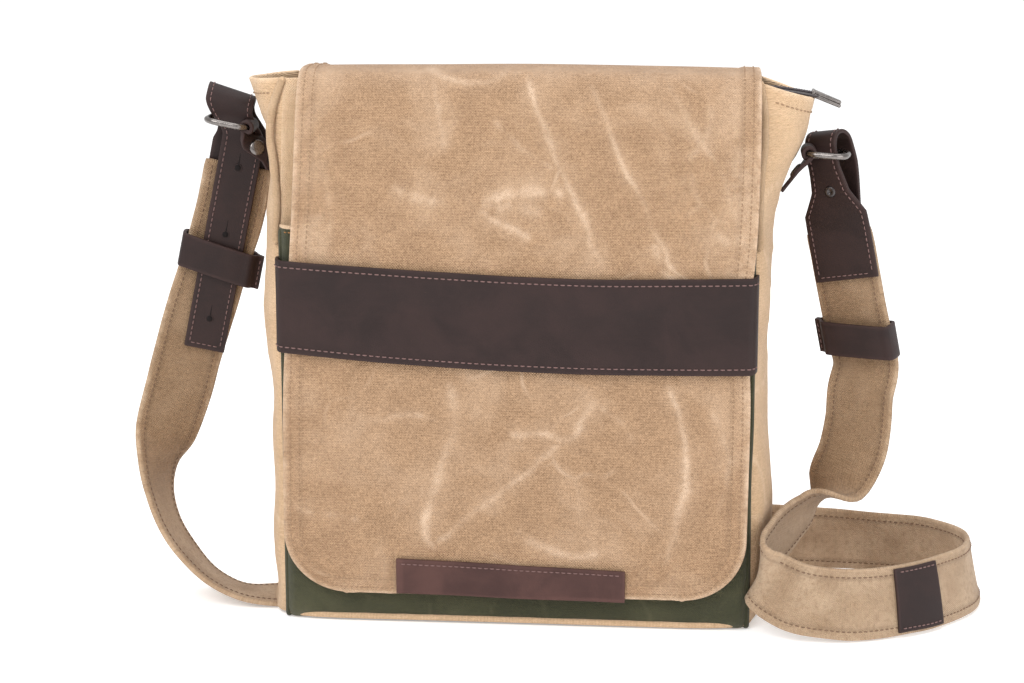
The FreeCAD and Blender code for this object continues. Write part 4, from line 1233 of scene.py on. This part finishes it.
def strip_rows(place, shape, low, high, inset, tip, slant=0.0, aside=0.0):
    """Stitch rows along both edges of a strip, and one across it at its tip."""
    line, run, half = shape
    normal = -np.cross(unit(np.gradient(line, axis=0)), [1.0, 0, 0])
    rows = []
    pick = (run >= low) & (run <= high)
    for side in (-1, 1):
        points = line[pick] + normal[pick] * THREAD_LIFT
        points[:, 0] = side * (half[pick] - inset)
        points[:, 2] += slant * points[:, 0] * ease(line[pick, 2], -4, 12)
        points[:, 0] += aside * ease(line[pick, 2], -14, 6)
        rows.append((place(points), np.array([place.way(n) for n in normal[pick]]), LEATHER_THREAD))
    i = int(np.argmin(np.abs(run - tip)))
    points = np.repeat((line[i] + normal[i] * THREAD_LIFT)[None], 20, axis=0)
    points[:, 0] = np.linspace(-(half[i] - inset), half[i] - inset, 20)
    rows.append((place(points), place.way(normal[i]), LEATHER_THREAD))
    return rows


# Left: the tail hangs in front, the tongue goes over the ring, and the wide part is sewn behind the canvas.
left_path = [(-3.5, -137), (-3.6, -95), (-3.6, -50), (-3.8, -20), (-5.0, -8), (-9.2, -1.5), (-9.2, 6.5), (-3.6, 11.4)]
left_path += [(3.4, 10.8), (7.6, 6), (7.2, -1), (4.6, -9), (3.5, -14), (3.4, -30), (3.4, -54)]
left_halves = [(0, 11.2), (133, 11.4), (143, 13.0), (160, 13.2), (172, 12.2), (180, 13.4), (190, 17.0), (270, 17.0)]
FOLD_SLANT, FOLD_ASIDE = -0.12, -11.0
left_leather, shape = strip("left_leather_end", LEFT, left_path, left_halves, 190, FOLD_SLANT, FOLD_ASIDE)
total = shape[1][-1]
left_rows = strip_rows(LEFT, shape, 2.2, 168, 2.4, 2.4, FOLD_SLANT, FOLD_ASIDE)
left_rows += strip_rows(LEFT, shape, total - 40, total - 2.2, 2.2, total - 2.4)
left_leather_stitches = stitches("left_leather_stitching", left_rows, THREAD_BROWN)

# Right: the wide part is sewn on the front, the tongue goes over the ring, and the tail hangs behind.
right_path = [(-3.4, -72), (-3.4, -52), (-3.4, -30), (-4.4, -14), (-5.6, -3), (-4.8, 5), (-1.6, 9.2), (4.0, 9.8)]
right_path += [(9.0, 6.4), (10.6, -2), (10.2, -14), (7.8, -28), (5.0, -40), (3.6, -54), (3.5, -80), (3.5, -112)]
right_path += [(3.9, -140)]
right_halves = [(0, 18.0), (37, 18.0), (50, 11.2), (64, 9.6), (96, 9.8), (110, 10.8), (290, 10.8)]
right_leather, shape = strip("right_leather_end", RIGHT, right_path, right_halves, 230)
total = shape[1][-1]
right_rows = strip_rows(RIGHT, shape, 2.2, 100, 2.3, 2.4)
right_rows += strip_rows(RIGHT, shape, 100, total - 2.2, 2.3, total - 2.4)
right_leather_stitches = stitches("right_leather_stitching", right_rows, THREAD_BROWN)

RIM = [(1.0, -0.25), (1.6, 0.02), (2.1, 0.10), (2.35, 0.04), (2.5, -0.08)]
HOLE = [(1.75, -0.1), (1.72, 0.09), (0.4, 0.09)]


def punched(name, place, height, y, facing):
    """A punched strap hole with its slit above it, as a near-black inlay of painted shade with a turned-in rim."""
    centre, outward = place((0, y, height)), place.way((0, facing, 0))
    rim = lathe("rim", RIM, centre, outward, LEATHER, 20)
    hole = lathe("hole", HOLE, centre, outward, HOLE_SHADE, 20)
    line = np.array([(0, y + facing * 0.05, height + d) for d in np.linspace(1.6, 8.2, 12)])
    wide = 0.34 - 0.22 * np.linspace(0, 1, 12)
    slit = tube("slit", place(line), wide, HOLE_SHADE, 8, up=outward, squash=0.35)
    return join(name, [rim, hole, slit])


left_punched = [punched(f"left_hole_{k}", LEFT, z, -4.72, -1) for k, z in enumerate((-30, -69, -119))]
left_holes = join("left_tail_holes", left_punched)
right_spots = enumerate(((-92, 4.7), (-124, 4.75)))
right_holes = join("right_tail_holes", [punched(f"right_hole_{k}", RIGHT, z, y, 1) for k, (z, y) in right_spots])

STUD = [(0.5, 1.55), (1.6, 1.5), (3.0, 1.1), (3.6, 0.45), (3.6, -0.2), (2.0, -0.5)]
SCREW = [(0.3, 0.35), (0.9, 0.35), (1.1, 0.8), (2.6, 0.75), (3.1, 0.35), (3.2, -0.3)]
left_stud = lathe("left_stud_back", STUD, LEFT((0, 4.7, -21)), LEFT.way((0, 1, 0)), METAL)
right_stud = lathe("right_stud_screw", SCREW, RIGHT((0.5, -5.0, -22)), RIGHT.way((0, -1, 0)), METAL_DARK)
right_stud_back = lathe("right_stud_back", STUD, RIGHT((0, 10.2, -20)), RIGHT.way((0, 1, 0)), METAL)

LEFT_EYE, RIGHT_EYE = (-153.0, 0, 272), (158.0, 0, 261)


def strap_ring(name, eye, outward, w, d, yaw, dip):
    """The strap ring: a bar bent into a rounded rectangle that leans a little."""
    r = 6.5
    points = []
    for cx, cy, a0 in ((w - r, d / 2 - r, 0), (r, d / 2 - r, 90), (r, -d / 2 + r, 180), (w - r, -d / 2 + r, 270)):
        for a in np.linspace(math.radians(a0), math.radians(a0 + 90), 12):
            points.append((cx + r * math.cos(a), cy + r * math.sin(a)))
    points = np.array(points + points[:1])
    yaw = math.radians(yaw)
    x = eye[0] + outward * points[:, 0] * math.cos(yaw) - points[:, 1] * math.sin(yaw)
    y = eye[1] + outward * points[:, 0] * math.sin(yaw) + points[:, 1] * math.cos(yaw)
    z = eye[2] + dip * points[:, 0]
    line = resample(np.column_stack([x, y, z]), 90)[:-1]
    return tube(name, line, 1.75, METAL, 14, closed=True)


left_ring = strap_ring("left_ring_bar", LEFT_EYE, -1, 22.5, 22.0, 0.0, 0.2)
right_ring = strap_ring("right_ring_bar", RIGHT_EYE, 1, 21.0, 19.5, -11.0, -0.05)

OVAL = [(0.5, 1.3), (2.2, 1.25), (3.6, 0.95), (4.4, 0.35), (4.5, -0.3)]
TAB_LONG = 27


def ring_tab(hand, eye, side, lean, twist, wide, facing_axis):
    """A leather tab folded round the ring's bar, and its stud. Its leaf turns towards the front by twist."""
    around = np.linspace(math.radians(-60), math.radians(180), 26)
    line = [(3.1 * math.cos(a), 0.0, 3.1 * math.sin(a)) for a in around][::-1]
    turn = [0.0] * len(line)
    start = len(line) - 1
    lean = math.radians(lean)
    for d in np.linspace(0, TAB_LONG, 49)[1:]:
        line.append((-3.1 + math.sin(lean) * d + float(ease(d, 0, 12)), 0.0, -math.cos(lean) * d))
        turn.append(math.radians(twist) * float(ease(d, 1, 14)))
    line, turn = np.array(line), np.array(turn)
    line[:, 0] *= -side
    run = distance_along(line)
    run = run - run[start]
    half = np.interp(run, [-20, 2, 8, TAB_LONG - 8, TAB_LONG], [7.6, 7.6, wide, wide, 0.8])
    share = np.linspace(-1, 1, 17)
    across = stack(np.sin(turn), np.cos(turn), 0.0)
    middle = line[:, None] + across[:, None] * (share[None, :, None] * half[:, None, None]) + np.array(eye)
    marks = wear_and_shade_marks(middle.shape[:2], rubbed=0.55 * (1 - ease(half[:, None] * (1 - np.abs(share))[None, :], 0, 1.3)))
    name = f"{hand}_ring_tab_leather"
    sheet = thick_sheet(name, middle, RING_TAB_GAUGE, LEATHER, marks=marks, edge=CUT_EDGE)
    spot = int(np.argmin(np.abs(run - TAB_LONG * 0.68)))
    facing = unit(np.cross(line[spot + 1] - line[spot - 1], across[spot]))
    facing = facing if facing[facing_axis] < 0 else -facing
    return sheet, lathe(f"{hand}_tab_stud", OVAL, middle[spot, 8] + facing * 1.2, facing, METAL)


left_tab, left_rivet = ring_tab("left", LEFT_EYE, -1, 27, 62, 7.4, 1)
right_tab, right_rivet = ring_tab("right", RIGHT_EYE, 1, 37, 8, 9.6, 0)


def keeper(name, place, height, fin_side, tilt, wide=1.0):
    """A leather loop round the strap, its two ends sewn together as a fin at one side."""
    tall, w, d = 18.5, 19.9, 6.9
    slope = math.tan(math.radians(tilt))
    outline = [(25.8, -1.25), (24.0, -1.3), (22.0, -2.6), (19.5, -d + 0.4), (15, -d - 0.2), (0, -d - 0.6)]
    outline += [(-15, -d - 0.2), (-19.6, -d + 0.5), (-w - 0.6, -d / 2), (-w - 0.8, 0), (-w - 0.6, d / 2)]
    outline += [(-19.6, d - 0.5), (-15, d), (0, d + 0.3), (15, d), (19.5, d - 0.4)]
    outline += [(22.0, 2.6), (24.0, 1.3), (25.8, 1.25)]
    line = spline([(fin_side * wide * a, b, 0) for a, b in outline], 170)
    v = np.linspace(-0.5, 0.5, 11) * tall
    middle = np.repeat(line[:, None], len(v), axis=1)
    middle[..., 2] = height + v[None, :] + slope * middle[..., 0]
    world = place(middle)
    if fin_side > 0:
        world = world[:, ::-1]
    marks = wear_and_shade_marks(world.shape[:2], rubbed=0.55 * (1 - ease(tall / 2 - np.abs(v), 0, 1.2))[None, :])
    body = thick_sheet(name, world, KEEPER_GAUGE, LEATHER, marks=marks, edge=CUT_EDGE)
    rows = []
    fin = fin_side * wide * 24.4
    for face in (-1, 1):
        at = [(fin, face * 2.3, height + q + slope * fin) for q in np.linspace(-tall / 2 + 1, tall / 2 - 1, 20)]
        rows.append((place(at), place.way((0, face, 0)), (3.1, 2.2, 0.33)))
    return body, stitches(name + "_stitching", rows, THREAD_BROWN)


left_keeper, left_keeper_stitches = keeper("left_keeper_loop", LEFT_LOOP, -84, 1, -7.2)
right_keeper, right_keeper_stitches = keeper("right_keeper_loop", RIGHT, -107, -1, -10, 0.93)

# ---------------------------------------------------------------- shoulder strap

# The middle stretch of the strap, from the bag's left, under it and round the loop at its right: at each station
# the strap's middle point and the way across it.
STRAP_MID = [
    ((-206.5, 5, 94), (0.80, 0.58, -0.1)), ((-210.5, 2, 76), (0.38, 0.92, -0.05)), ((-210, 0, 60), (0.14, 0.99, -0.05)),
    ((-204.5, -3, 43), (0.04, 1, -0.08)), ((-194, -6, 27), (0, 1, -0.1)), ((-179, -9, 12.5), (-0.08, 1, -0.12)),
    ((-163, -10, 4.6), (-0.15, 1, -0.1)), ((-137.5, -8, 1.9), (-0.25, 1, 0)), ((-100, 3, 1.9), (-0.32, 1, 0)),
    ((-60, 16, 1.9), (-0.34, 1, 0)), ((-20, 31, 1.9), (-0.40, 1, 0)), ((14, 47, 1.9), (-0.50, 1, 0)),
    ((44, 64, 2.6), (-0.45, 1, 0.05)), ((74, 76, 13.5), (-0.22, 0.75, 0.60)), ((101, 80, 20.8), (0, 0.15, 0.98)),
    ((132, 76, 20.0), (0, 0, 1)), ((166, 73, 19.9), (0, -0.08, 1)), ((205, 68, 19.7), (-0.02, -0.2, 0.97)),
    ((239, 57, 19.6), (-0.14, -0.17, 0.97)), ((257, 32, 19.5), (-0.2, -0.05, 0.97)),
    ((255, 4, 19.5), (-0.2, 0.04, 0.97)), ((236, -24, 19.5), (-0.14, 0.16, 0.97)),
    ((208, -46, 19.5), (-0.05, 0.22, 0.97)), ((178, -57, 20.5), (0.02, 0.2, 0.98)),
    ((151, -57, 25.5), (0.1, 0.1, 0.98)), ((136.5, -50, 34), (0.14, 0.02, 0.99)), ((142, -32, 44), (0.12, -0.02, 1)),
    ((158, -10, 56), (0.42, 0, 0.9)), ((177, 3, 71), (0.86, -0.12, 0.5)), ((186.5, 7, 89), (0.95, -0.28, 0.12)),
    ((189.6, 8, 106), (0.94, -0.34, 0.05)), ((190.6, 8.5, 124), (0.93, -0.37, 0.02)),
]
stations = [(LEFT((0, 0, z)), LEFT.way((1, 0, 0))) for z in (-30, -55)]
stations += [((-175.6, 11, 195), LEFT.way((1, 0, 0))), ((-187.2, 10, 160), (0.94, 0.18, -0.27))]
stations += [((-194.0, 9.0, 138), (0.93, 0.26, -0.26)), ((-200.8, 8.0, 113), (0.90, 0.36, -0.24))]
MID_FIRST = len(stations)
stations += STRAP_MID
stations += [(RIGHT((-(124 + z) * 0.018, 0, z)), RIGHT.way((1, 0, 0))) for z in (-124, -104, -80, -46)]
station_points = np.array([s[0] for s in stations], float)
station_ways = unit(np.array([s[1] for s in stations], float))
station_run = distance_along(station_points)
STRAP_LINE = smooth_curve(list(zip(station_run, station_points)))
STRAP_WAY = smooth_curve(list(zip(station_run, station_ways)))
STRAP_LENGTH = station_run[-1]
STRAP_HALF = 18.0


def strap_place(run, share, lift=0.0):
    """A point on the strap: run along it, share from -1 to 1 across it, lift off its middle."""
    run, share = np.broadcast_arrays(np.asarray(run, float), np.asarray(share, float))
    middle = STRAP_LINE(run)
    along = unit(STRAP_LINE(run + 0.6) - STRAP_LINE(run - 0.6))
    across = STRAP_WAY(run)
    across = unit(across - along * (across * along).sum(-1, keepdims=True))
    normal = np.cross(along, across)
    free = ease(run, 160, 230) * (1 - ease(run, STRAP_LENGTH - 230, STRAP_LENGTH - 160))
    wave = noise(run / 55, share * 0.8, 0, 201) * 0.5 + noise(run / 19, share, 0, 202) * 0.22
    cup = 0.7 * share**2 * noise(run / 80, 0, 0, 203)
    off = (wave * 0.5 + cup) * free + lift
    edge = STRAP_HALF * share + 0.25 * noise(run / 16, np.sign(share) * 3, 0, 204)
    return middle + across * edge[..., None] + normal * off[..., None], normal


def strap_piece(name, low, high):
    """A stretch of the strap as hemmed canvas webbing."""
    run, share = np.meshgrid(np.linspace(low, high, int((high - low) / 2.4)), np.linspace(-1, 1, 25), indexing="ij")
    middle, _ = strap_place(run, share)
    edge = STRAP_HALF * (1 - np.abs(share))
    pale = 0.65 * (1 - ease(middle[..., 2], 35, 80)) * (0.8 + 0.4 * noise(run / 12, share * 1.5, 0, 206))
    rubbed = 0.9 * (1 - ease(edge, 0, 1.8)) * (0.6 + 0.4 * noise(run / 9, share, 0, 205))
    # Painted shade: a thin dark line beside the hem's step, 4.6 mm in from each edge.
    marks = wear_and_shade_marks(run.shape, pale, rubbed, 0.3 * bump(edge, 4.6, 0.6))
    gauge = STRAP_GAUGE + STRAP_HEM * (1 - ease(edge, 5.2, 6.2))
    sheet = thick_sheet(name, middle, gauge, TAN_STRAP_SHADED, stack(share * STRAP_HALF, run), marks)
    rows = []
    line = np.linspace(low + 1, high - 1, int((high - low) / 1.6))
    for side in (-1, 1):
        for face in (-1, 1):
            points, normals = strap_place(line, np.full_like(line, side * (1 - 3.4 / STRAP_HALF)), face * 1.5)
            rows.append((points, normals * face, (3.2, 2.3, 0.34)))
    return sheet, stitches(name + "_stitching", rows, THREAD_DARK)


# The left run ends under the bag and the leather patch sits on the loop, each near one of the middle stations.
under_run = station_run[MID_FIRST + 10]
strap_left, strap_left_stitches = strap_piece("strap_left_run", 0, under_run)
strap_right, strap_right_stitches = strap_piece("strap_right_run", under_run - 0.3, STRAP_LENGTH)

patch_mid = station_run[MID_FIRST + 22] - 17.0
PATCH_HALF, PATCH_SHARE = 15, 0.97
run, share = np.meshgrid(
    np.linspace(patch_mid - PATCH_HALF, patch_mid + PATCH_HALF, 26),
    np.linspace(-PATCH_SHARE, PATCH_SHARE, 25),
    indexing="ij",
)
patch_middle, _ = strap_place(run, share, -2.35)
patch_edge = np.minimum(PATCH_HALF - np.abs(run - patch_mid), 19 * (PATCH_SHARE - np.abs(share)))
rubbed = 0.5 * (1 - ease(patch_edge, 0, 1.2))
marks = wear_and_shade_marks(run.shape, rubbed=rubbed)
patch = thick_sheet("strap_leather_patch", patch_middle, PATCH_GAUGE, LEATHER, marks=marks, edge=CUT_EDGE)
patch_rows = []
for side in (-1, 1):
    line = np.linspace(patch_mid - 14, patch_mid + 14, 30)
    points, normals = strap_place(line, np.full_like(line, side * 0.87), -3.3)
    patch_rows.append((points, -normals, (3.2, 2.2)))
patch_stitches = stitches("strap_patch_stitching", patch_rows, THREAD_BROWN)

# ---------------------------------------------------------------- what moves with what, and what stands for what

BAG = [front_wall, back_wall, left_gusset, right_gusset, *rolls, body_stitches, base, pocket, binding, pocket_stitches]
BAG += [*pocket_rolls, piping, band, band_stitches, lining, board, facing_front, facing_back, *tapes, *coils, tail]
BAG += [end_cap, left_tab, right_tab, left_rivet, right_rivet, patch, patch_stitches]
RIDES = {
    "bag": BAG,
    "flap_hang": [flap_tab, flap_tab_stitches],
    "slider": [slider],
    "pull": [pull],
    "left_end": [left_ring, left_leather, left_leather_stitches, left_holes, left_stud],
    "right_end": [right_ring, right_leather, right_leather_stitches, right_holes, right_stud, right_stud_back],
    "left_loop": [left_keeper, left_keeper_stitches],
    "right_loop": [right_keeper, right_keeper_stitches],
}
for body, pieces in RIDES.items():
    for piece in pieces:
        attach(piece, body)
BLENDS = [
    ((flap_rear, flap_rear_stitches), "bag", "flap_cover", (0, 0.030, 0.292), (0, 0.018, 0.305)),
    ((flap_front, flap_front_stitches), "flap_cover", "flap_hang", (0, -0.012, 0.3065), (0, -0.033, 0.290)),
    ((strap_left, strap_left_stitches), "left_end", "bag", (-0.186, 0.011, 0.150), (-0.190, 0.005, 0.050)),
    ((strap_right, strap_right_stitches), "right_end", "bag", (0.190, 0.011, 0.140), (0.182, 0.008, 0.070)),
]
for pieces, first, second, start, end in BLENDS:
    for piece in pieces:
        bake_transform(piece)
        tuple(start)
        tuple(end)

REPLACED = [
    (front_wall, "front_panel"), (back_wall, "back_panel"), (left_gusset, "left_gusset"),
    (right_gusset, "right_gusset"), (base, "base_panel"), (board, "base_board"), (piping, "front_piping"),
    (pocket, "front_pocket"), (binding, "pocket_binding"), (lining, "lining"), (facing_front, "front_facing"),
    (facing_back, "back_facing"), (tapes[0], "zip_tape_front"), (tapes[1], "zip_tape_back"),
    (coils[0], "zip_coil_front"), (coils[1], "zip_coil_back"), (coils[2], "zip_tail_coil"), (tail, "zip_tail"),
    (end_cap, "zip_end_cap"), (band, "front_band"), (flap_rear, "flap_anchor"), (flap_rear, "flap_top"),
    (flap_front, "flap_front"), (flap_tab, "flap_tab"), (slider, "zip_slider"), (pull, "zip_puller"),
    (left_tab, "left_ring_tab"), (left_rivet, "left_tab_rivet"), (right_tab, "right_ring_tab"),
    (right_rivet, "right_tab_rivet"), (left_ring, "left_ring"), (right_ring, "right_ring"),
    (left_leather, "left_strap_end"), (right_leather, "right_strap_end"), (left_stud, "left_strap_stud"),
    (right_stud, "right_strap_stud"), (left_keeper, "left_keeper"), (right_keeper, "right_keeper"),
    (strap_left, "left_strap_canvas"), (strap_right, "right_strap_canvas"), (strap_right, "strap_canvas"),
    (patch, "strap_patch"),
]
for piece, node in REPLACED:
    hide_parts(node)

SLOTS = {
    "tan_canvas": [front_wall, back_wall, left_gusset, right_gusset, base, binding, facing_front, facing_back, piping]
    + [flap_rear, flap_front, strap_left, strap_right, *rolls],
    "green_canvas": [pocket, *pocket_rolls],
    "lining_cloth": [lining],
    "brown_leather": [band, flap_tab, left_tab, right_tab, left_leather, right_leather]
    + [left_keeper, right_keeper, patch],
    "dark_metal": [end_cap, slider, pull, left_ring, right_ring, left_rivet, right_rivet]
    + [left_stud, right_stud, right_stud_back],
    "zip_cloth": [*tapes, tail],
    "zip_coil": coils,
    "board": [board],
}
for name, pieces in SLOTS.items():
    for piece in pieces:
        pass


SHEETS = [
    (front_wall, (0.266, 0.305), "stretched", ["shell_gusset_left"]),
    (back_wall, (0.266, 0.305), "stretched", ["shell_gusset_left"]),
    (left_gusset, (0.092, 0.305), "stretched", ["shell_front"]),
    (right_gusset, (0.092, 0.300), "stretched", ["shell_front"]),
    (pocket, (0.270, 0.222), "stretched", ["shell_front"]),
    (lining, (0.690, 0.262), "hung", ["facing_front"]),
    (facing_front, (0.261, 0.036), "stretched", ["shell_front"]),
    (facing_back, (0.261, 0.036), "stretched", ["shell_back"]),
    (flap_rear, (0.262, FLAP_SPLIT * MM), "draped", ["shell_back"]),
    (flap_front, (0.262, (FLAP_LENGTH - FLAP_SPLIT) * MM), "draped", ["leather_band"]),
    (strap_left, (2 * STRAP_HALF * MM, under_run * MM), "hung", ["left_leather_end"]),
    (strap_right, (2 * STRAP_HALF * MM, (STRAP_LENGTH - under_run) * MM), "hung", ["right_leather_end"]),
]
for piece, flat, held, rests_on in SHEETS:
    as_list(rests_on)

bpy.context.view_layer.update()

# ---------------------------------------------------------------- floor, light and camera


def lamp(name, place, aim, size, power):
    """A soft rectangular lamp."""
    data = bpy.data.lights.new(name, "AREA")
    data.shape, data.size, data.size_y = "RECTANGLE", size[0], size[1]
    data.energy = power
    obj = bpy.data.objects.new(name, data)
    obj.location = place
    obj.rotation_euler = (Vector(aim) - Vector(place)).to_track_quat("-Z", "Y").to_euler()
    bpy.context.scene.collection.objects.link(obj)


def floor_material():
    """Plain pale floor."""
    n = Nodes("pale_floor")
    pale = n.mix(n.noise(n.place(), 3.0), (0.90, 0.90, 0.90), (0.93, 0.93, 0.93))
    return n.finish(pale, 0.95, Specular_IOR_Level=0.0, Emission_Color=(1, 1, 1, 1), Emission_Strength=0.3)


floor_mesh = bpy.data.meshes.new("floor")
floor_corners = [(-30, -30, -0.0006), (30, -30, -0.0006), (30, 30, -0.0006), (-30, 30, -0.0006)]
floor_mesh.from_pydata(floor_corners, [], [(0, 1, 2, 3)])
floor_mesh.materials.append(floor_material())
floor = bpy.data.objects.new("floor", floor_mesh)
bpy.context.scene.collection.objects.link(floor)

world = bpy.data.worlds.new("studio")
bpy.context.scene.world = world
world.use_nodes = True
world.node_tree.nodes["Background"].inputs[0].default_value = (1, 1, 1, 1)
world.node_tree.nodes["Background"].inputs[1].default_value = 0.8
lamp("key", (-0.9, -1.5, 1.7), (0, 0, 0.14), (1.2, 1.2), 26)
lamp("fill", (1.5, -1.2, 0.9), (0, 0, 0.15), (1.4, 1.4), 12)
lamp("top", (0.1, 0.3, 1.9), (0, 0, 0.1), (1.8, 1.2), 14)

bpy.context.scene.view_settings.view_transform = "Standard"
bpy.context.scene.view_settings.exposure = 0.0

CAMERA_FAR, CAMERA_TURN, CAMERA_RISE, CAMERA_LENS = 1.30, 5.0, 12.0, 83.9
CAMERA_AIM = Vector((-0.0015, -0.045, 0.1613))
turn, rise = math.radians(CAMERA_TURN), math.radians(CAMERA_RISE)
away = Vector((math.sin(turn) * math.cos(rise), -math.cos(turn) * math.cos(rise), math.sin(rise)))
camera_data = bpy.data.cameras.new("camera")
camera_data.lens = CAMERA_LENS
camera_data.clip_end = 40
camera = bpy.data.objects.new("camera", camera_data)
camera.location = CAMERA_AIM + away * CAMERA_FAR
camera.rotation_euler = (-away).to_track_quat("-Z", "Y").to_euler()
bpy.context.scene.collection.objects.link(camera)
bpy.context.scene.camera = camera
